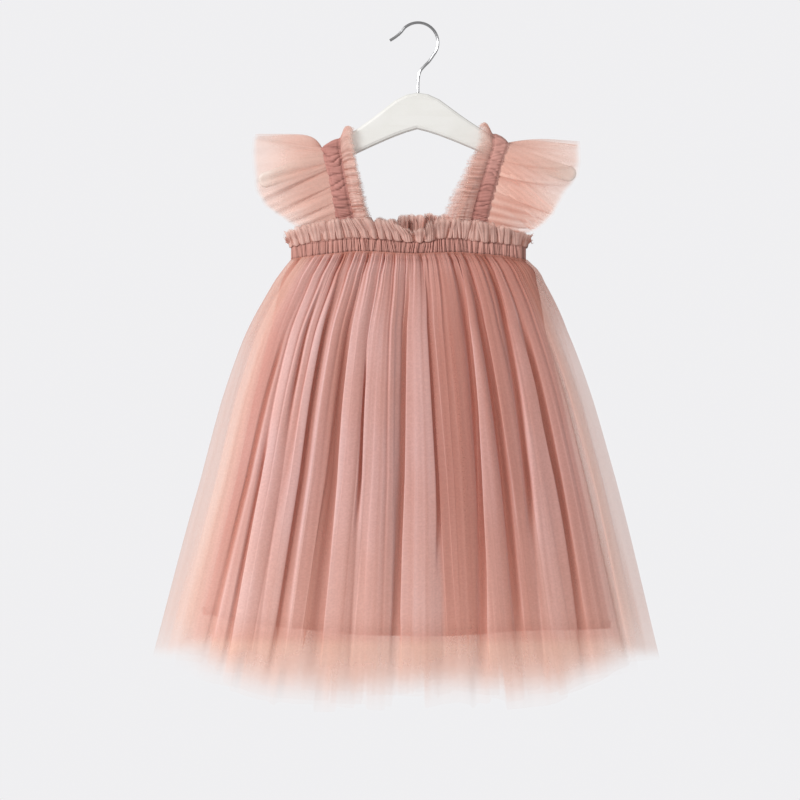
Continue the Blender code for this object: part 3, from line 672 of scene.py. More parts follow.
def layers_at(across, drop, valleys, reach=1.1):
    """How many layers lie at each place: those of its fold, and fewer in a valley."""
    past = [ease(-0.45, 0.45, (across - middle_of(v, drop)) / v.width) for v in valleys]
    level, floor = valleys[0].before * (1 - past[0]), np.zeros_like(across)
    for i, valley in enumerate(valleys):
        a = middle_of(valley, drop)
        last = i == len(valleys) - 1
        b = 1.0 if last else middle_of(valleys[i + 1], drop)
        end = valley.after if last else valleys[i + 1].before
        inside = valley.after + (end - valley.after) * ease(0.0, 1.0, (across - a) / (b - a))
        level += inside * (past[i] - (0 if last else past[i + 1]))
        away = np.clip((across - a) / (reach * valley.width), -1, 1)
        floor = np.maximum(floor, np.cos(math.pi * away / 2) ** 2 * begun(valley, drop))
    level += (VALLEY_LAYERS + 1.2 * ease(0.5, 0.9, drop) - level) * floor
    at_band = BAND_LAYERS * (1 - 0.45 * across)
    return at_band + (level - at_band) * ease(-0.02, 0.26, drop)


def overlaps(across, drop, seed, count, low, high):
    """Net that lies over itself: a factor on its layers that steps from fold to fold."""
    random = np.random.default_rng(seed)
    edges = np.sort(random.uniform(-0.80, 0.80, count))
    now = random.uniform(low, high)
    level = np.full(across.shape, now)
    for edge in edges:
        middle = edge + random.normal(0, 0.035) * (drop - 0.5)
        new, soft = random.uniform(low, high), random.choice([0.003, 0.006, 0.040])
        level += (new - now) * ease(-soft, soft, across - middle) * ease(0.02, 0.20, drop)
        now = new
    return level


print("a valley is half as deep as at the hem at",
      round(float(np.interp(0.5, gathered(np.linspace(0, 1, 99)), np.linspace(0, 1, 99))), 2),
      "of the skirt's length")

# %% [markdown]
# Every layer of the skirt, front or back, is a panel of one kind. Each of its rows lies on a
# ring, a flattened circle between the two side seams, and the tulle layers part towards the
# hem, as their solids do. First come its rows, its cut hem and the gathers at its top.

# %% Rows, hem and gathers of a skirt panel
ROUNDNESS = 2.5              # exponent of the flattened circle
# Gathers under the band: metres from crease to crease, depth, and the least and most drop
# over which a crease melts away
Gathers = namedtuple("Gathers", "step depth least most seed")
GATHERS = [Gathers(0.0082, 0.0042, 0.040, 0.500, 11), Gathers(0.0034, 0.0010, 0.015, 0.120, 12)]
LAID_RIGHT = 0.10            # place across beyond which the gathers lie the other way
WANDER = 0.05                # how far a crease drifts sideways on its way down
NOTCH_DEPTH = 0.0030
PUFF = 0.0016                # how far the gathers stand out just under the band
EMERGE = 0.006               # metres below the band in which the cloth swells out
SEAT, TUCK = 0.0012, 0.0016  # how far its upper edge lies above the band's foot, and inside
SMALL_WIDTH, SMALL_DEPTH = 0.026, 0.0008     # of the small valleys
# Metres that the cloth's outline lies outside its solid's, at shares of the drop
Swell = namedtuple("Swell", "drop left right")
SWELLS = [Swell(0.00, 0.000, 0.000), Swell(0.02, 0.002, 0.001), Swell(0.05, 0.004, -0.002),
          Swell(0.16, 0.003, -0.005), Swell(0.32, 0.003, -0.002), Swell(0.50, 0.001, 0.000),
          Swell(1.00, 0.001, 0.000)]
# folds: share of the large folds' depth, small: how many small ones, hem_play: how uneven it
# is cut, hem_step: height of the uneven hem of its solid, inset: how far inside it lies
Panel = namedtuple("Panel", "node columns rows folds small seed hem_play hem_step inset")


def row_shares(rows):
    """Rows from band to hem, closer together near both ends, most of all under the band."""
    even = np.linspace(0, 1, rows)
    crowded = even - 0.075 * np.sin(2 * math.pi * even)
    return crowded * (0.12 + 0.88 * np.minimum(1, crowded / 0.12) ** 0.8)


def hem_line(node, places, table):
    """Height of the solid's hem at places across it."""
    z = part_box(node)[0].z
    left, right = (float(read_ring(table, name, z)) for name in ("left", "right"))
    middle, half = (left + right) / 2, (right - left) / 2
    known = np.linspace(-0.94, 0.94, 48)
    heights = [section(node, X, middle + half * k)[:, Z].min() for k in known]
    return np.interp(places, known, heights)


def jogs(across, seed, count, height):
    """A raw edge cut in many strokes: level pieces with short slanting steps between."""
    random = np.random.default_rng(seed)
    ends = np.sort(random.uniform(-0.95, 0.95, count))
    levels = random.normal(0, height, count + 1)
    knots = np.repeat(ends, 2) + np.tile([-0.004, 0.004], count)
    slants = np.repeat(levels, 2) + random.normal(0, 0.3 * height, 2 * count + 2)
    return np.interp(across, np.sort(knots), slants[1:-1])


def curve(rows, key, value, at):
    """A line through one column of a table, over another column."""
    return np.interp(at, [getattr(row, key) for row in rows],
                     [getattr(row, value) for row in rows])


def ring_place(place, stand, side):
    """How far forward or back the flattened circle lies at a place across it."""
    turn = np.maximum(0, 1 - abs(np.clip(place, -1, 1)) ** ROUNDNESS) ** (1 / ROUNDNESS)
    return FACING[side] * stand * turn


def gather(panel, side, across, drop, depth, swelling):
    """Depth of the folds with the gathers in them, rise of their crests, and how much painted
    shade a crease gets."""
    crown, creases = np.zeros_like(drop), np.zeros_like(drop)
    for row in GATHERS:
        seed = panel.seed + row.seed + (side == "back")
        random = np.random.default_rng(seed)
        wander = np.interp(across, np.linspace(-1, 1, 26), random.normal(0, WANDER, 26)) * drop
        phase = pleat_phase(seed, 2 * BAND_HALF, row.step, 0.25)(
            BAND_HALF * (across + wander + 1))
        lobes = laid(phase, across > LAID_RIGHT)
        melt = by_crease(random, phase, row.least, row.most, 2.0)
        crease = (1 - lobes) * np.exp(-drop / melt) * by_crease(random, phase, 0.45, 1.3)
        depth = depth + row.depth * crease * swelling
        dark = crease * (1 - lobes) + 0.6 * crease * np.exp(-drop / 0.012)
        creases = np.maximum(creases, dark * (row.depth / GATHERS[0].depth) ** 0.3)
        crown = crown + PUFF * row.depth / GATHERS[0].depth * lobes * np.exp(-drop / 0.05)
    return depth, crown, creases


# %% [markdown]
# A panel takes its large folds, its small ones and its gathers in turn. Their depth says how
# far each point stands inside the ring, and the solid says how wide the ring is at its height.

# %% Fold one skirt panel


def skirt_panel(panel, side):
    """Points of one skirt layer, its places, drops, depth of large folds, and the painted shade
    of its creases.
    """
    node = f"{panel.node}_{side}"
    table = ring_table(node, panel.hem_step)
    across, share = np.meshgrid(np.linspace(-1, 1, panel.columns), row_shares(panel.rows))
    # Rows from the band's foot to the cut hem
    top = np.interp(across, edge_places, BAND_FOOT) + SEAT
    play = jogs(across, panel.seed + (side == "back"), panel.small, panel.hem_play)
    hem = hem_line(node, across, table) + play * (1 - abs(across) ** 8)
    z = top + (hem - top) * share
    drop = np.clip((top - z) / SKIRT_DROP, 0, 1.2)

    # Folds, from the large ones down to the gathers and notches
    grown = gathered(drop) * (1 - 0.25 * ease(0.55, 0.95, drop))
    small = small_valleys(panel.seed + 7, panel.small, SMALL_WIDTH, SMALL_DEPTH)
    large, shift = fold(across, drop, VALLEYS[side], 1.5, grown * panel.folds)
    small_depth, small_shift = fold(across, drop, small, 1.6, grown)
    depth, shift = large + small_depth, shift + small_shift
    swelling = ease(0, EMERGE / SKIRT_DROP, drop)
    depth, crown, creases = gather(panel, side, across, drop, depth, swelling)
    notch = notched(across, drop, NOTCHES[side])
    depth = depth + NOTCH_DEPTH * notch * swelling
    creases = np.clip(np.maximum(creases, 1.3 * notch), 0, 1.3)
    rise = roundness(across, drop, VALLEYS[side]) * panel.folds
    relaxed = 1 - 0.85 * ease(0.80, 0.97, drop)
    place = across + shift * relaxed * (1 - abs(across) ** 6)
    # The ring at each height, as its solid has it and a little wider
    left, right = (read_ring(table, name, z) for name in ("left", "right"))
    stand = read_ring(table, "stand", np.minimum(z, table["z"][-1]))
    left = left - curve(SWELLS, "drop", "left", drop)
    right = right + curve(SWELLS, "drop", "right", drop)
    stand = stand + rise + crown * swelling - depth - TUCK * (1 - swelling)
    stand = stand - panel.inset * np.minimum(grown, 1)
    x = (left + right) / 2 + (right - left) / 2 * place
    return np.stack([x, ring_place(place, stand, side), z], -1), across, drop, large, creases


TOP = Panel("skirt_top_tulle", 640, 96, 1.0, 20, 3, 0.0030, 0.031, 0.0)
UNDER = Panel("skirt_under_tulle", 460, 76, 0.8, 18, 23, 0.0036, 0.034, 0.0019)
LINED = Panel("skirt_lining", 340, 60, 0.5, 10, 43, 0.0, 0.022, 0.0031)
print("points:", {panel.node: panel.columns * panel.rows for panel in (TOP, UNDER, LINED)})

# %% [markdown]
# Tulle is cut, not hemmed: its lower edge is raw and uneven, and several cut edges lie at
# different heights, so the hem fades out over a few centimetres. Beside and below the
# lining, light comes through the net from behind, and that glow is painted into its colour.

# %% Sew the tulle skirts
FLAT_SHARE = 0.25            # light that one flat layer stops
DARK_DEPTH = 0.0090          # a valley this deep gets hardly any light of its own
# bunch: share of the folds' layers that show, side_fade: how far it thins beside the lining,
# fade: metres over which it thins towards its raw edge, edges: how often it lies over
# itself, least and most: the factors on its layers between which it does
Net = namedtuple("Net", "bunch side_fade fade edges least most")
NETS = {"skirt_top_tulle": Net(1.0, 0.0, 0.033, 26, 0.85, 1.25),
        "skirt_under_tulle": Net(0.12, 0.9, 0.036, 34, 0.5, 2.4)}
RAW = 0.10                   # share of the layers that is left at a raw edge
lining_low = {side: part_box(f"skirt_lining_{side}")[0].z for side in FACING}


def tulle_extras(points, across, drop, depth, creases, side, panel):
    """Cover of a tulle panel, with its painted light and painted shade, from its folds and its
    place.
    """
    net = NETS[panel.node]
    z, hem = points[:, :, Z], points[-1, :, Z]
    strands = np.interp(across, np.linspace(-1, 1, 130),
                        np.random.default_rng(panel.seed + 31).normal(1, 0.07, 130))
    # Layers that lie on one another: many in the folds, few and even at the hem
    level = 1 + (layers_at(across, drop, VALLEYS[side]) - 1) * net.bunch
    level *= overlaps(across, drop, panel.seed + 41, net.edges, net.least, net.most)
    near_hem = ease(0.035, -0.020, z - lining_low[side])
    at_side = ease(0.80, 0.93, abs(across))
    level += (HEM_LAYERS * (1 - 0.4 * at_side) * (1 + 0.2 * across) - level) * 0.85 * near_hem
    level *= 1 - 0.25 * at_side * np.where(across < 0, 1, -0.6)
    # Thinner towards the side seams
    thinned = np.where(across < 0, 0.30, 0.50 * ease(0.04, 0.26, drop))
    level *= 1 - thinned * ease(0.88, 1.0, abs(across))
    fade = 1 - net.side_fade * ease(0.74, 0.99, abs(across))
    # A bank that is seen along its fold stops more, and a raw edge less
    evened = np.maximum(near_hem, ease(0.78, 0.97, abs(across)))
    steepness = squeeze(points) ** (1 - 0.9 * evened)
    length = net.fade * (1 - 0.6 * ease(0.78, 0.95, abs(across)))
    raw = RAW + (1 - RAW) * ease(0, 1, (z - hem[None, :]) / length)
    cover = covered(FLAT_SHARE, steepness * level * strands * fade * raw)
    # Painted light where light comes through beside and below the lining, and a little over the
    # lower half
    beside = ease(0.80, 0.90, abs(across)) * (0.72 + 0.28 * ease(0.12, 0.50, drop))
    below = ease(0.010, -0.004, z - lining_low[side])
    lit = np.maximum(0.85 * np.maximum(beside, below), 0.25 * ease(0.45, 0.9, drop))
    # Painted shade in the valleys, under the band and in its creases, and more towards the
    # right, away from the light
    painted_shade = np.clip(depth / DARK_DEPTH, 0, 1) ** 1.3 * (1 - lit)
    painted_shade *= 1 - 0.75 * ease(0.5, 0.85, drop)
    seam = (0.35 * np.exp(-drop / 0.006) + 0.65 * creases
            + (0.10 + 0.12 * ease(0.0, 0.5, across)) * ease(0.22, 0.04, drop)
            + 0.30 * ease(1.0, 0.6, drop) * ease(0.70, 0.88, across))
    return {"cover": cover, "lit": lit, "painted_shade": np.clip(0.5 * painted_shade + seam, 0, 0.9)}


def sew(node, grids, finish, flip, flat, trim=None):
    """Make the sheet that stands for a solid and hide the solid, and print the sheet's area
    against that of the flat piece it is cut from. trim gives its threads: the end of their
    name, their lines, finish and sizes."""
    slot = finish.name.partition(".")[0]     # without the number that Blender may add
    piece = cloth_sheet(f"{node}_cloth", grids, finish, flip)
    trimmed = [threads(f"{node}_{trim[0]}", *trim[1:], slot)] if trim else []
    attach(piece, "root")
    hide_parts(node)
    area = sum(face.area for face in piece.data.polygons)
    print(piece.name, "area", round(area, 4), "flat", flat,
          "share", round(area / (flat[0] * flat[1]), 2),
          "triangles", 2 * len(piece.data.polygons))


SKIRT_CUTS = {"skirt_top_tulle": {"front": (0.69, 0.43), "back": (0.60, 0.43)},
              "skirt_under_tulle": {"front": (0.60, 0.45), "back": (0.54, 0.45)},
              "skirt_lining": {"front": (0.50, 0.39), "back": (0.48, 0.39)}}
for panel, finish in ((TOP, TOP_TULLE), (UNDER, UNDER_TULLE)):
    for side in FACING:
        points, *state = skirt_panel(panel, side)
        extras = tulle_extras(points, *state, side, panel)
        sew(f"{panel.node}_{side}", [(points, extras)], finish, side == "back",
            SKIRT_CUTS[panel.node][side])

# %% [markdown]
# The lining ends in a narrow sewn hem, two layers of cloth deep, with a row of stitches
# along its upper edge. The turned-up part is a second strip just outside the first.

# %% Sew the lining
LINING_HEM = 0.007           # how far it is turned up
LINING_SHORT = 0.006         # how much higher it ends than its solid
CLOTH_GAP = 0.0005           # from one layer of the hem to the other
DARK_LINING = 0.006          # a valley this deep gets the lining's darkest painted shade
SEAM_LIFT, SEAM_DROP = 0.0002, 0.0008        # of its stitches, off the cloth and below its edge

for side, facing in FACING.items():
    points, _, drop, depth, _ = skirt_panel(LINED, side)
    points[..., Z] += LINING_SHORT * ease(0.5, 1.0, drop)
    strip = np.stack([points[-1] + np.array([0, facing * CLOTH_GAP, rise])
                      for rise in np.linspace(LINING_HEM, 0, 5)])
    # Painted shade in its valleys, and painted light that grows towards its hem; the turned-up
    # strip gets a little of each
    sheets = [(points, {"painted_shade": np.clip(depth / DARK_LINING, 0, 1),
                        "lit": 0.10 + 0.70 * ease(0.42, 0.85, drop)}),
              (strip, {"painted_shade": 0.2, "lit": 0.3})]
    seam = strip[0] + np.array([0, facing * SEAM_LIFT, -SEAM_DROP])
    outs = np.broadcast_to([0, facing, 0], seam.shape)
    sew(f"skirt_lining_{side}", sheets, LINING, side == "back",
        SKIRT_CUTS["skirt_lining"][side],
        trim=("stitches", [(seam, outs)], STITCH_THREAD, STITCH))

# %% [markdown]
# The band is elastic under two layers of cloth. Two rows of stitching hold it, so the cloth
# puffs between them, is pinched along them and stands in small upright pleats.

# %% Sew the waistband
BAND_STAND = {side: abs(section(f"waistband_{side}", X, BAND_MIDDLE)[:, Y]).max()
              for side in FACING}
BAND_PLEAT, BAND_FINE = 0.0040, 0.0018       # widths of its broad and its narrow pleats
BAND_PUFF, PLEAT_RISE = 0.0010, 0.0028       # how far it stands out, and its pleats on it
BAND_INSET, BAND_PINCH = 0.0014, 0.0007      # of its creases and of its stitches
TOP_WAVE, FOOT_WAVE = 0.0008, 0.0014         # how far its pleats reach past its edges
BAND_SLANT = 0.0035          # how far a pleat may slant, from foot to top
BAND_SEAMS = (0.10, 0.90)    # places of its two rows of stitches, from top to foot


def uneven(random, at, length, count, low, high):
    """A random value that changes along a seam, at uneven places between low and high."""
    return np.interp(at, np.linspace(0, length, count), random.uniform(low, high, count))


def band_grid(side, columns=760, rows=26):
    """The puffed band. Its pleats are narrow ones laid over broad ones."""
    place, down = np.meshgrid(np.linspace(-1, 1, columns), np.linspace(0, 1, rows))
    random = np.random.default_rng(67 + (side == "back"))
    metres, length = BAND_HALF * (place + 1), 2 * BAND_HALF
    # Narrow pleats on broad ones, all a little askew
    slant = uneven(random, metres, length, 26, -BAND_SLANT, BAND_SLANT) * (down - 0.5)
    phase = pleat_phase(61 + (side == "back"), length, BAND_PLEAT, 0.30)(metres + slant)
    fine = pleat_phase(71, length, BAND_FINE)(metres - slant)
    strength = uneven(random, metres, length, 56, 0.4, 1.35)
    high = 0.72 * pleats(phase, 0.9) * strength + 0.28 * pleats(fine, 0.9)
    tall = np.sin(math.pi * np.clip(down * 1.06 - 0.03, 0, 1)) ** 0.5
    pinch = sum(bell(down, seam, 0.05) for seam in BAND_SEAMS)
    # They stand out between the seams, and wave along both edges
    rise = BAND_PUFF * tall + PLEAT_RISE * high * (0.4 + 0.6 * tall) - BAND_PINCH * pinch
    top = np.interp(place, edge_places, BAND_TOP) + TOP_WAVE * (high - 0.5)
    foot = np.interp(place, edge_places, BAND_FOOT) - FOOT_WAVE * (high - 0.4)
    z = top * (1 - down) + foot * down
    y = ring_place(place, BAND_STAND[side] - BAND_INSET + rise, side)
    # Painted shade in the creases between its pleats and along its stitches
    painted_shade = np.clip((0.62 - high) / 0.5, 0, 1) + 0.30 * pinch
    return np.stack([BAND_MIDDLE + BAND_HALF * place, y, z], -1), {"painted_shade": np.clip(painted_shade, 0, 1)}


def seams(points, shares):
    """Lines along the rows of a grid at shares of its height, just outside the cloth."""
    normals = grid_normals(points)
    normals *= np.where(normals[:, :, Y:Z] * points[:, :, Y:Z] < 0, -1, 1)
    rows = [round(share * (len(points) - 1)) for share in shares]
    return [(points[row] + STITCH_LIFT * normals[row], normals[row]) for row in rows]


for side in FACING:
    sheet = band_grid(side)
    sew(f"waistband_{side}", [sheet], BAND_CLOTH, side == "back",
        (0.34, 0.016), trim=("stitches", seams(sheet[0], BAND_SEAMS), STITCH_THREAD, STITCH))

# %% [markdown]
# Above the band the cloth goes on as a standing frill, two layers with a raw upper edge. It
# flares, and the two layers wave out of step, so their edges cross.

# %% Sew the standing frill
FRILL_TULLE = tulle_finish("frill_tulle", (0.86, 0.58, 0.51), (0.71, 0.43, 0.37), (0.45, 0.95),
                           streak=0.20, glow=(0.93, 0.68, 0.60), deep=(0.50, 0.22, 0.17))
HEADER_PLEAT, HEADER_FINE = 0.0078, 0.0021   # widths of its lobes and of its narrow pleats
HEADER_BULGE, HEADER_RIPPLE = 0.0066, 0.0009 # how far each of them stands out
HEADER_OVERLAP = 0.0017      # how far a lobe leans over the crease on each side
HEADER_SLANT = 0.0060        # how far the free edge lies beside its own seam
HEADER_CURL = 0.0034         # how far a lobe bends on its way up
HEADER_HANG = 0.0038         # how far a lobe sags over the seam
HEADER_INSET, HEADER_FLARE = 0.0006, 0.0030  # how far its seam lies in, and its edge out
LOBE_RISE, END_FALL = 0.0078, 0.0045         # of its edge, on a lobe and at the side seams
EDGE_PLAY = 0.0007           # how uneven its raw edge is
INNER_SHORT, INNER_GAP = 0.0012, 0.0022      # how much shorter and deeper the inner layer is
# Rise of its edge near the middle, where that lies and half its width: the front has slumped
# there, and the back one shows
Slump = namedtuple("Slump", "rise middle half")
SLUMPS = {"front": Slump(-0.0080, 0.0, 0.014), "back": Slump(0.0050, 0.005, 0.024)}


def header_grid(side, layer, columns=720, rows=20):
    """One layer of the standing frill, from its free edge down to the band."""
    node = f"header_frill_{side}"
    place, down = np.meshgrid(np.linspace(-1, 1, columns), np.linspace(0, 1, rows))
    free = 1 - down
    seed = 83 + 5 * layer + (side == "back")
    random = np.random.default_rng(seed)
    metres, length = BAND_HALF * (place + 1), 2 * BAND_HALF
    # Lobes with narrow pleats on them
    curl = HEADER_CURL * uneven(random, metres, length, 40, -1, 1) * free ** 2
    phase = pleat_phase(seed, length, HEADER_PLEAT, 0.30)(metres + curl)
    fine = pleats(pleat_phase(seed + 3, length, HEADER_FINE)(metres + 0.6 * curl), 1.0)
    strength = by_crease(random, phase, 0.40, 1.45)
    lobe = pleats(phase, 0.95)
    spread = free ** 0.7 * strength
    slant = HEADER_SLANT * uneven(random, metres, length, 22, -0.5, 1.7) * free ** 1.3
    bulge = HEADER_BULGE * spread * lobe + HEADER_RIPPLE * fine * (0.4 + free)
    # Its free edge is as high as the solid's there, and rises on each lobe
    top = np.interp(place, edge_places, BAND_TOP)
    peak = np.array([section(node, X, BAND_MIDDLE + BAND_HALF * p)[:, Z].max()
                     for p in edge_places])
    ragged = np.interp(place, np.linspace(-1, 1, 150), random.normal(0, EDGE_PLAY, 150))
    tall = np.interp(place, edge_places, peak) - top - INNER_SHORT * layer + ragged
    tall = tall + LOBE_RISE * (lobe - 0.75) * strength - END_FALL * abs(place) ** 6
    slump = SLUMPS[side]
    tall = tall + slump.rise * bell(BAND_MIDDLE + BAND_HALF * place, slump.middle, slump.half, 4)
    # It widens and flares from its seam up
    outer = section(node, Z, float(top.mean()) + 0.010)
    widening = (abs(outer[:, X] - BAND_MIDDLE).max() - BAND_HALF) * 1.7
    sideways = -HEADER_OVERLAP * np.sin(2 * phase) * spread - slant
    sideways = sideways * (1 - abs(place) ** 12)
    x = BAND_MIDDLE + (BAND_HALF + widening * free) * place + sideways
    sag = HEADER_HANG * lobe * np.sin(math.pi * np.minimum(1, free / 0.4)) * strength
    stand = (BAND_STAND[side] - HEADER_INSET - INNER_GAP * layer
             + HEADER_FLARE * free ** 1.4 + bulge)
    points = np.stack([x, ring_place(place, stand, side), top + tall * free - sag], -1)
    # Dense at the seam. Painted shade at the seam, in creases, on the side of each lobe away
    # from the light, on the inner layer and the back one, more to the right and less at the left
    # end; painted light on the lobes along the edge
    cover = covered(0.60, squeeze(points) * (2.3 - 1.3 * free))
    crease = np.clip(1 - 1.5 * lobe, 0, 1)
    turned = np.clip(-np.cos(phase) * np.sign(np.sin(phase)), 0, 1) ** 1.5
    painted_shade = (0.85 * crease + 0.32 * turned + 0.38 * (1 - fine)
           + 0.55 * np.exp(-free / 0.10) * (1 - 0.6 * lobe)
           + 0.20 * layer + 0.04 * np.maximum(place, 0) - 0.15 * ease(-0.55, -0.95, place)
           + 0.20 * (side == "back"))
    pale = 0.70 * ease(0.62, 1.0, free) * lobe
    return points, {"cover": cover * np.clip(down / 0.06, 0.45, 1),
                    "painted_shade": np.clip(painted_shade * (1 - pale), 0, 0.9), "lit": pale}


for side in FACING:
    layers = [header_grid(side, layer) for layer in (0, 1)]
    edges = [(points[0], unit(points[0] - points[1])) for points, _ in layers]
    sew(f"header_frill_{side}", layers, FRILL_TULLE, side == "back",
        (0.36, 0.036), trim=("raw_edge", edges, RAW_EDGE, SHORT_THREAD))

# %% [markdown]
# Each strap rises from the front of the band, passes over the hanger and goes down to the
# back. Its middle line is measured like the skirt, with level cuts on the way up and down
# and upright ones over the wood.

# %% Route of a strap
SHOULDER_FALL = 0.0125       # below a strap's top, where it has turned upright
STRAP_WALL = 0.0024
CROWN_REACH = 0.0076         # how far its way over the wood goes to the front and the back


def strap_route(node, count):
    """Rows of (x inner, x outer, y, z inner, z outer) at even steps, front to back, and
    the length of the strap."""
    low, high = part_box(node)
    inward = 1 if high.x < 0 else -1
    levels = np.linspace(low.z + 0.001, high.z - SHOULDER_FALL, 24)

    def ends(cut):
        order = np.argsort(inward * cut[:, X])
        outer, inner = cut[order[:2]].mean(axis=0), cut[order[-2:]].mean(axis=0)
        return inner, outer

    def upright(facing):
        rows = []
        for z in levels:
            cut = section(node, Z, z)
            cut = cut[facing * cut[:, Y] > 0]
            inner, outer = ends(cut)
            rows.append((inner[X], outer[X], cut[:, Y].mean(), z, z))
        return rows

    crown = []
    for y in np.linspace(-CROWN_REACH, CROWN_REACH, 8):
        cut = section(node, Y, y)
        inner, outer = ends(cut)
        crown.append((inner[X], outer[X], y, inner[Z], outer[Z]))
    rows = np.array(upright(-1) + crown + upright(1)[::-1])
    middle = np.stack([rows[:, :2].mean(axis=1), rows[:, 2], rows[:, 3:].mean(axis=1)], -1)
    run = np.concatenate([[0], np.cumsum(np.linalg.norm(np.diff(middle, axis=0), axis=1))])
    even = np.linspace(0, run[-1], count)
    spaced = np.stack([np.interp(even, run, column) for column in rows.T], -1)
    padded = np.pad(spaced, ((4, 4), (0, 0)), mode="edge")
    kernel = np.ones(9) / 9
    return np.stack([np.convolve(c, kernel, "valid") for c in padded.T], -1), run[-1]


INNER, OUTER = [0, 2, 3], [1, 2, 4]          # columns of a route that give one edge's points


def outward(route):
    """Direction away from the wearer at each row of a strap, square to its run."""
    y, z = route[:, 2], route[:, 3:].mean(axis=1)
    run = unit(np.stack([np.zeros_like(y), np.gradient(y), np.gradient(z)], -1))
    return np.stack([np.zeros_like(y), -run[:, 2], run[:, 1]], -1)


STRAP_ROWS = 380
ROUTES = {name: strap_route(f"strap_{name}", STRAP_ROWS) for name in ("left", "right")}

# %% [markdown]
# A strap is gathered along its length on two rows of elastic thread, one near each edge, so
# its pleats run across it, a little askew.

# %% Sew the straps
STRAP_PLEAT, STRAP_FINE = 0.0080, 0.0031     # widths of its broad and its narrow pleats
STRAP_SLANT = 0.011          # how far a pleat may slant, from edge to edge
STRAP_BEND = 0.004           # and how far its middle may lie off that line
STRAP_RISE = 0.0027          # how far a pleat stands out
STRAP_INSET, STRAP_PINCH = 0.0006, 0.0006    # of its creases and of its stitches
STRAP_WIDTH, SCALLOP = 0.018, 0.0012         # and how far its edges go in and out
PRESSED = 0.0009             # how far the sleeve's seam presses it down


def strap_grid(name, columns=30):
    """Columns run from the neck side of a strap to its arm side, and rows along it."""
    route, length = ROUTES[name]
    side, metres = np.meshgrid(np.linspace(0, 1, columns), np.linspace(0, length, len(route)))
    random = np.random.default_rng(97 + len(name))
    # Pleats that run across it, askew and bent
    slant = uneven(random, metres, length, 22, -STRAP_SLANT, STRAP_SLANT) * (side - 0.5)
    bend = uneven(random, metres, length, 18, -STRAP_BEND, STRAP_BEND) * np.sin(math.pi * side)
    phase = pleat_phase(101 + len(name), length + 0.04, STRAP_PLEAT)(
        metres + slant + bend + 0.01)
    fine = pleat_phase(111 + len(name), length + 0.04, STRAP_FINE)(
        metres - 0.6 * slant + 0.01)
    strength = uneven(random, metres, length, 30, 0.55, 1.2)
    high = 0.70 * pleats(phase, 0.65) * strength + 0.30 * pleats(fine, 0.8)
    # They stand out between its two seams
    tall = np.sin(math.pi * np.clip(side, 0, 1)) ** 0.8
    pinch = bell(side, 0.12, 0.06) + 0.5 * bell(side, 0.88, 0.06)
    rise = STRAP_WALL / 2 - STRAP_INSET + STRAP_RISE * high * (0.35 + 0.65 * tall)
    rise = rise - STRAP_PINCH * pinch - PRESSED * ease(0.80, 1.0, side)
    inner, outer = route[:, None, INNER], route[:, None, OUTER]
    scallop = SCALLOP * (high - 0.5) * np.sign(side - 0.5) * (abs(side - 0.5) * 2) ** 4
    spread = (side + scallop / STRAP_WIDTH)[:, :, None]
    points = inner + (outer - inner) * spread + outward(route)[:, None] * rise[:, :, None]
    # Painted shade in the creases between its pleats and along its stitches
    painted_shade = np.clip((0.55 - high) / 0.45, 0, 1) ** 0.8 + 0.20 * np.minimum(pinch, 1)
    # The left strap gets more painted shade towards its lower end
    if name == "left":
        painted_shade = painted_shade + 0.25 * ease(-0.175, -0.200, points[:, :, Z])
    light = np.zeros_like(side)
    if name == "right":      # painted shade along the frill's seam, and painted light on the upper part and along the sleeve's seam
        painted_shade = painted_shade + 0.7 * bell(side, 0.03, 0.05)
        light = 0.42 * ease(-0.175, -0.125, points[:, :, Z]) + 0.35 * ease(0.75, 1.0, side)
    return points, {"painted_shade": np.clip(painted_shade, 0, 1), "lit": np.clip(light, 0, 1)}


for name, (route, _) in ROUTES.items():
    sheet = strap_grid(name)
    edges = [(sheet[0][:, column] + STITCH_LIFT * outward(route), outward(route))
             for column in (4, -5)]
    sew(f"strap_{name}", [sheet], STRAP_CLOTH, name == "left", (0.018, 0.27),
        trim=("stitches", edges, STITCH_THREAD, STITCH))

# %% [markdown]
# On its neck side each strap carries a narrow frill with a raw edge, gathered into the same
# stitching. Over the shoulder it stands up beside the strap.

# %% Sew the neck frills
# dense: layers at its seam and at its edge, inner: where a second row of stitches pinches its
# lower end, as a share of its width
NeckFrill = namedtuple("NeckFrill", "width narrowing peak dense inner")
NECK_FRILLS = {"left": NeckFrill(0.0130, 0.12, 0.0075, (3.0, 1.1), None),
               "right": NeckFrill(0.0165, 0.36, 0.0065, (2.2, 0.4), 0.45)}
NECK_PLEAT, NECK_FINE = 0.0076, 0.0026       # widths of its lobes and of its narrow pleats
NECK_BULGE, NECK_RIPPLE = 0.0042, 0.0006     # how far each of them stands out
NECK_SLIDE = 0.0014          # how far a lobe leans over the next crease
NECK_SEAT, NECK_TILT = 0.0012, 0.0030        # how far out its seam lies, and its edge past it
NECK_GAP = 0.001             # how much deeper and shorter the inner layer is
NECK_PLAY = 0.0010           # how uneven its raw edge is
SHOULDER_DROP = 0.030        # below the strap's top, where the frill begins to stand up
NECK_ROWS = slice(18, -26)   # of the strap's route, those with a frill


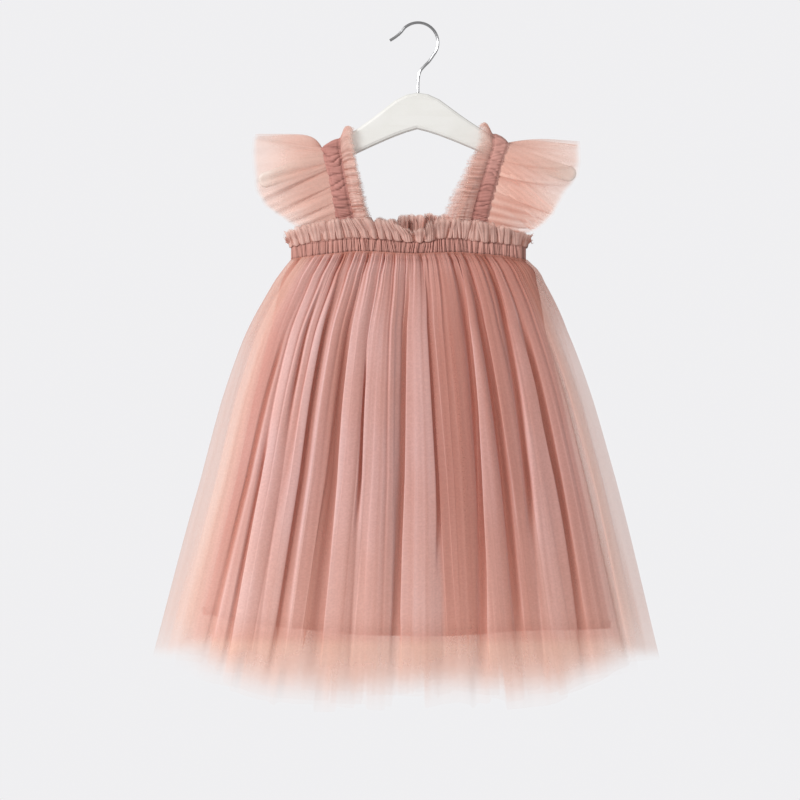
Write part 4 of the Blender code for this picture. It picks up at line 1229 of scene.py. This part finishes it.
def neck_grid(name, layer, columns=14):
    """Columns run from the strap to the frill's free edge, and rows along the strap."""
    route, length = ROUTES[name]
    route = route[NECK_ROWS]
    inward = 1 if name == "left" else -1
    form = NECK_FRILLS[name]
    free, metres = np.meshgrid(np.linspace(0, 1, columns), np.linspace(0, length, len(route)))
    seed = 131 + 7 * layer + len(name)
    random = np.random.default_rng(seed)
    # Lobes with narrow pleats on them
    phase = 2 * pleat_phase(seed, length + 0.02, NECK_PLEAT)(metres + 0.004)
    fine = pleats(pleat_phase(seed + 2, length + 0.02, NECK_FINE)(metres + 0.004), 1.0)
    strength = uneven(random, metres, length, 24, 0.5, 1.2)
    ragged = np.interp(metres, np.linspace(0, length, 130), random.normal(0, NECK_PLAY, 130))
    # It stands up over the shoulder and lies flat below
    top = route[:, 3].max()
    shoulder = np.clip(1 - (top - route[:, 3]) / SHOULDER_DROP, 0, 1)[:, None]
    width = form.width * (1 - form.narrowing * shoulder) - NECK_GAP * layer + ragged
    out = outward(route)[:, None]
    along_run = np.cross(out, np.array([1.0, 0, 0]))
    lobe = pleats(phase / 2, 0.9)
    wave = (NECK_BULGE * lobe * strength * free ** 0.7 + NECK_RIPPLE * fine)[:, :, None]
    slide = (NECK_SLIDE * np.sin(phase) * strength * free)[:, :, None]
    tilt = (NECK_SEAT - NECK_GAP * layer + NECK_TILT * free)[:, :, None]
    side = np.array([inward, 0, 0]) * (width * free)[:, :, None]
    upward = form.peak * shoulder * np.sin(0.8 * math.pi * free) / math.sin(0.8 * math.pi / 2)
    rise = np.array([0, 0, 1]) * upward[:, :, None]
    points = route[:, None, INNER] + side + out * (tilt + wave) + along_run * slide + rise
    # Dense at its seam; painted shade at the seam and in creases, painted light along the edge
    at_seam, at_edge = form.dense
    dense = at_seam + (at_edge - at_seam) * free ** 0.8
    cover = covered(0.40, squeeze(points) * dense * (1 - 0.55 * shoulder))
    crease = np.clip(1 - 1.6 * lobe, 0, 1)
    painted_shade = ((0.95 * crease * strength + 0.45 * (1 - fine) * (1 - 0.5 * free)) * (1 - shoulder)
           + 0.5 * np.exp(-free / 0.10))
    if form.inner:
        painted_shade *= 0.6
        low_end = ease(-0.176, -0.186, points[:, :, Z]) * (points[:, :, Y] < 0)
        # painted shade along the inner row of stitches at its lower end
        painted_shade += 0.8 * bell(free, form.inner, 0.05) * low_end
        cover += (0.85 - cover) * bell(free, form.inner, 0.20) * low_end
    pale = 0.85 * ease(0.1, 0.9, free) * (0.3 + 0.7 * lobe)
    return points, {"cover": cover * np.clip((1 - free) / 0.15, 0.35, 1),
                    "painted_shade": np.clip(painted_shade * (1 - 0.7 * pale), 0, 1), "lit": pale}


for name in ROUTES:
    layers = [neck_grid(name, layer) for layer in (0, 1)]
    edges = [(points[:, -1], unit(points[:, -1] - points[:, -2])) for points, _ in layers]
    sew(f"neck_frill_{name}", layers, FRILL_TULLE, name == "right",
        (0.26, 0.028), trim=("raw_edge", edges, RAW_EDGE, RAW_THREAD))

# %% [markdown]
# A flutter sleeve is a doubled fan of tulle: gathered into the strap, it spreads to a free
# edge about twice as long and falls over the arm. Its folds run out from the strap. Ribs
# give its free edge, from low on the strap to the top of the shoulder, and large folds are
# listed again.

# %% Sleeve ribs and folds
Rib = namedtuple("Rib", "share x y z")       # share: of the way from its lower end to the top
SLEEVE_RIBS = {
    "left": [
        Rib(0.00, -0.1145, 0.0100, -0.2090),
        Rib(0.10, -0.1190, 0.0150, -0.2075),
        Rib(0.22, -0.1280, 0.0195, -0.2010),
        Rib(0.34, -0.1370, 0.0225, -0.1940),
        Rib(0.48, -0.1520, 0.0250, -0.1835),
        Rib(0.62, -0.1610, 0.0250, -0.1690),
        Rib(0.74, -0.1640, 0.0240, -0.1500),
        Rib(0.84, -0.1655, 0.0215, -0.1290),
        Rib(0.90, -0.1645, 0.0140, -0.1150),
        Rib(1.00, -0.1630, 0.0000, -0.1100),
    ],
    "right": [
        Rib(0.00, 0.1130, 0.0130, -0.2090),
        Rib(0.10, 0.1180, 0.0170, -0.2070),
        Rib(0.22, 0.1260, 0.0200, -0.2010),
        Rib(0.34, 0.1335, 0.0235, -0.1930),
        Rib(0.48, 0.1400, 0.0250, -0.1820),
        Rib(0.62, 0.1475, 0.0250, -0.1680),
        Rib(0.74, 0.1590, 0.0240, -0.1540),
        Rib(0.84, 0.1615, 0.0215, -0.1370),
        Rib(0.90, 0.1615, 0.0140, -0.1240),
        Rib(1.00, 0.1620, 0.0000, -0.1175),
    ],
}
# Share of the strap's run where each layer of a sleeve begins, at the front, and ends. On
# the right the outer layer is turned up, so the inner one shows below it.
SLEEVE_ENDS = {"left": [(0.02, 0.975), (0.02, 0.975)], "right": [(0.19, 0.975), (0.02, 0.975)]}
# strap: place of the fold as a share of the strap's run, from its front foot over 0.5 at the
# shoulder to its back foot. edge: its place along the free edge, counted the same way. The
# cloth above a fold lies over the cloth below it: gain is how many layers more it has, and
# shade how dark it is below.
SleeveFold = namedtuple("SleeveFold", "strap edge width depth gain shade")
SLEEVE_FOLDS = {
    "left": [SleeveFold(0.087, 0.040, 0.025, 0.0020, 0.3, 0.20),
             SleeveFold(0.164, 0.115, 0.030, 0.0030, 0.6, 0.30),
             SleeveFold(0.246, 0.190, 0.035, 0.0035, 0.7, 0.40),
             SleeveFold(0.330, 0.262, 0.050, 0.0050, 0.5, 0.65),
             SleeveFold(0.362, 0.335, 0.025, 0.0030, -0.2, 0.40),
             SleeveFold(0.442, 0.420, 0.035, 0.0020, 0.4, 0.20),
             SleeveFold(0.633, 0.660, 0.030, 0.0040, 0.6, 0.30),
             SleeveFold(0.766, 0.820, 0.030, 0.0045, 0.6, 0.30)],
    "right": [SleeveFold(0.215, 0.175, 0.025, 0.0025, 0.5, 0.30),
              SleeveFold(0.285, 0.335, 0.045, 0.0050, 0.8, 0.65),
              SleeveFold(0.355, 0.405, 0.035, 0.0035, 0.7, 0.12),
              SleeveFold(0.440, 0.440, 0.030, 0.0020, 0.2, 0.10),
              SleeveFold(0.643, 0.640, 0.030, 0.0040, 0.6, 0.30),
              SleeveFold(0.785, 0.830, 0.030, 0.0045, 0.6, 0.30)],
}
SLEEVE_CROWN = {"left": 0.0015, "right": 0.0030}     # how far it arches over the shoulder
UPRIGHT_FROM = 0.012         # how far out its free edge lies where it no longer arches
SLEEVE_GAP = 0.0018          # from one layer to the other at the free edge
LAYER_SHIFT = 0.010          # how far the inner layer's folds lie beside the outer one's
RIPPLES, RIPPLE_DEPTHS = (7, 11, 17, 26), (0.0003, 0.0009)   # how many, and how deep
SLEEVE_LAP = 0.0012          # how far its seam lies in from the strap's edge
SLEEVE_SHARE = 0.105         # light that one flat layer of a sleeve stops
SLEEVE_TULLE = tulle_finish("sleeve_tulle", (1.00, 0.78, 0.70), (0.85, 0.50, 0.41),
                            (0.22, 0.70))


def sleeve_folds(name, layer, u, v):
    """Depth and shade of a sleeve's large folds, and how many layers they lay together."""
    first, last = SLEEVE_ENDS[name][layer]
    depth, shade, layers = np.zeros_like(u), np.zeros_like(u), np.ones_like(u)
    for row in SLEEVE_FOLDS[name]:
        at_strap = ((row.strap - first) / (0.5 - first) / 2 if row.strap < 0.5 else
                    0.5 + (row.strap - 0.5) / (last - 0.5) / 2)
        middle = at_strap + (row.edge - at_strap) * v + LAYER_SHIFT * layer
        above = (u - middle) / (row.width * (0.6 + 0.6 * v)) * np.where(u > 0.5, -1, 1)
        step = ease(-0.12, 0.12, above)
        below = (1 - step) * np.exp(np.minimum(above, 0) / 0.9)
        depth += row.depth * below * np.minimum(1, 0.3 + 1.1 * v)
        shade += row.shade * below * np.exp(-v / 0.8)
        layers += row.gain * step * np.exp(-np.maximum(above, 0) / 2.2)
    return depth, shade, layers


def sleeve_grid(name, layer, columns=200, rows=56):
    """Columns run along the strap, front to back, and rows from it to the free edge."""
    route, _ = ROUTES[name]
    first, last = SLEEVE_ENDS[name][layer]
    u, v = np.meshgrid(np.linspace(0, 1, columns), np.linspace(0, 1, rows))
    # Its seam lies on the strap and its free edge on the ribs, in front and behind
    strap_share = np.where(u < 0.5, first + (0.5 - first) * 2 * u,
                           0.5 + (last - 0.5) * (2 * u - 1))
    sign = -1 if name == "left" else 1
    rows_at = strap_share * (len(route) - 1)
    outer, y, z = (np.interp(rows_at, np.arange(len(route)), route[:, c]) for c in OUTER)
    seam = np.stack([outer - sign * SLEEVE_LAP, y, z], -1)
    share = 1 - abs(2 * u - 1)
    free = np.stack([curve(SLEEVE_RIBS[name], "share", axis, share) for axis in "xyz"], -1)
    back = u > 0.5
    free[:, :, Y] *= np.where(back, 0.9, -1)
    free[:, :, Z] += np.where(back, 0.006 * np.clip(1 - share / 0.84, 0, 1), 0)
    free = seam + (free - seam) * (1 - 0.03 * layer)
    # Over the shoulder the cloth arches instead of falling straight
    upright = np.minimum(1, abs(free[:, :, Y]) / UPRIGHT_FROM)
    points = seam + (free - seam) * v[:, :, None]
    over = 1 - (1 - v) ** 10
    lift = (over - v) * (free - seam)[:, :, Z] + SLEEVE_CROWN[name] * np.sin(math.pi * v)
    points[:, :, Z] += (1 - upright) * lift
    # Folds and ripples go in square to the cloth
    out = grid_normals(points)
    out *= np.where(back, 1, -1)[:, :, None] * np.sign(out[:, :, Y:Z] + 1e-9)
    depth, shade, layers = sleeve_folds(name, layer, u, v)
    random = np.random.default_rng(151 + 3 * layer + len(name))
    ripples = sum(random.uniform(*RIPPLE_DEPTHS)
                  * np.sin(2 * math.pi * count * (u + 0.03 * v) + random.uniform(0, 6))
                  for count in RIPPLES)
    depth += ripples * (0.3 + 0.9 * v) * 0.8 + SLEEVE_GAP * layer * v
    points = points - out * depth[:, :, None]
    # Gathered cloth is dense at the strap and thins as it spreads
    dense = (1.5 + 7.0 * (1 - v) ** 1.55) * (1 - 0.45 * share ** 2)
    if name == "right":
        dense = dense * (1 + 0.9 * ease(0.30, 0.15, u))
    cover = covered(SLEEVE_SHARE, squeeze(points, 1.5) * layers * dense)
    if first > 0.1:          # the turned-up edge is a double fold
        cover = np.maximum(cover, 0.70 * ease(0.026, 0.006, u))
        shade = shade * ease(0.0, 0.03, u)
    elif name == "right":    # below it lies the inner layer, in its shade
        shade = shade + 0.65 * ease(0.24, 0.12, u) * (0.55 + 0.45 * np.sin(150 * u))
    # The shade below its folds is painted into the colour
    return points, {"cover": cover * np.clip((1 - v) / 0.05, 0.3, 1),
                    "painted_shade": np.clip(shade, 0, 0.7)}


for name in ROUTES:
    sew(f"flutter_sleeve_{name}", [sleeve_grid(name, layer) for layer in (0, 1)],
        SLEEVE_TULLE, name == "left", (0.22, 0.15))

# %% [markdown]
# The hanger is wood under a matt white paint that has softened its grain, and the hook is
# bright drawn wire. Their solids stay as they are, so only their finishes change.

# %% Finishes: white paint and bright wire


def paint_finish():
    made, tree = empty_finish("white_paint")
    grain = noise(tree, 4.0, along=(14.0, 60.0, 240.0))
    soil = noise(tree, 3.0, 24.0)
    colour = tinge(tree, soil, 0.4, 0.75, 1.0, (0.83, 0.82, 0.79), (0.77, 0.76, 0.72))
    colour = tinge(tree, grain, 0.52, 0.72, 0.16, colour, (0.68, 0.66, 0.60))
    return finished(made, surface(tree, colour, stretch(tree, soil, 0.3, 0.7, 0.42, 0.60),
                                  {"Normal": bumped(tree, grain, 0.10, 0.0004)}))


def wire_finish():
    made, tree = empty_finish("bright_steel")
    drawn = noise(tree, 2.0, along=(900.0, 900.0, 900.0))
    dull = noise(tree, 3.0, 60.0)
    colour = tinge(tree, dull, 0.3, 0.7, 1.0, (0.50, 0.50, 0.51), (0.32, 0.32, 0.33))
    return finished(made, surface(tree, colour, stretch(tree, dull, 0.3, 0.7, 0.20, 0.38), {
        "Metallic": 1.0, "Normal": bumped(tree, drawn, 0.08, 0.0001)}))


for node, finish in (("hanger", paint_finish()), ("hook", wire_finish())):
    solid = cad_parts[node]
    solid.data.materials.clear()
    solid.data.materials.append(finish)
    print(node, "is finished in", finish.name)

# %% [markdown]
# The dress hangs in a bright room: a pale floor well below it, an even white surround and
# one large soft light from the upper left front, which is what shows the folds.

# %% Floor, lights and camera
VIEW_WIDTH = 0.800           # width of what the camera sees, at the dress
VIEW_CENTRE = Vector((-0.018, 0.0, -0.376))
DISTANCE = 2.5               # from the camera to the dress
FLOOR_SIDE, FLOOR_DROP = 3.2, 0.80           # its width, and its depth below the hem


def make_floor():
    made, tree = empty_finish("pale_floor")
    speck = blend(tree, noise(tree, 4.0, 9.0), (0.86, 0.86, 0.86), (0.80, 0.80, 0.80))
    mesh = bpy.data.meshes.new("floor")
    half, level = FLOOR_SIDE / 2, CAD_LOW.z - FLOOR_DROP
    mesh.from_pydata([(-half, -half, level), (half, -half, level), (half, half, level),
                      (-half, half, level)], [], [(0, 1, 2, 3)])
    mesh.materials.append(finished(made, surface(tree, speck, 0.85)))
    new_object("floor", mesh)


def area_light(name, place, size, power):
    light = bpy.data.lights.new(name, "AREA")
    light.shape, light.size, light.energy = "SQUARE", size, power
    made = new_object(name, light)
    made.location = place
    made.rotation_mode = "QUATERNION"
    made.rotation_quaternion = (VIEW_CENTRE - Vector(place)).to_track_quat("-Z", "Y")


def make_world(seen, lit):
    """An even white surround, brighter to the eye than the light that it gives."""
    world = bpy.data.worlds.new("bright room")
    world.use_nodes = True
    tree = world.node_tree
    tree.nodes.clear()
    ray = add(tree, "ShaderNodeLightPath").outputs["Is Camera Ray"]
    room = add(tree, "ShaderNodeBackground", {"Color": (1.0, 0.99, 0.985, 1), "Strength": lit})
    view = add(tree, "ShaderNodeBackground", {"Color": (*seen, 1), "Strength": 1.0})
    mixed = add(tree, "ShaderNodeMixShader", {0: ray, 1: room.outputs[0], 2: view.outputs[0]})
    add(tree, "ShaderNodeOutputWorld", {"Surface": mixed.outputs[0]})
    bpy.context.scene.world = world


make_floor()
make_world(seen=(0.868, 0.865, 0.880), lit=0.42)
area_light("key", (-2.3, -2.0, 0.9), size=1.2, power=88)
area_light("fill", (2.2, -2.6, 0.1), size=2.2, power=8)

camera = bpy.data.cameras.new("camera")
camera.sensor_width = 36.0
camera.lens = camera.sensor_width * DISTANCE / VIEW_WIDTH
eye = new_object("camera", camera)
eye.location = VIEW_CENTRE + Vector((0, -DISTANCE, 0))
eye.rotation_euler = (math.radians(90), 0, 0)
bpy.context.scene.camera = eye
bpy.context.scene.view_settings.view_transform = "Standard"
bpy.context.scene.cycles.transparent_max_bounces = 32
print("camera lens, in mm:", round(camera.lens, 1))
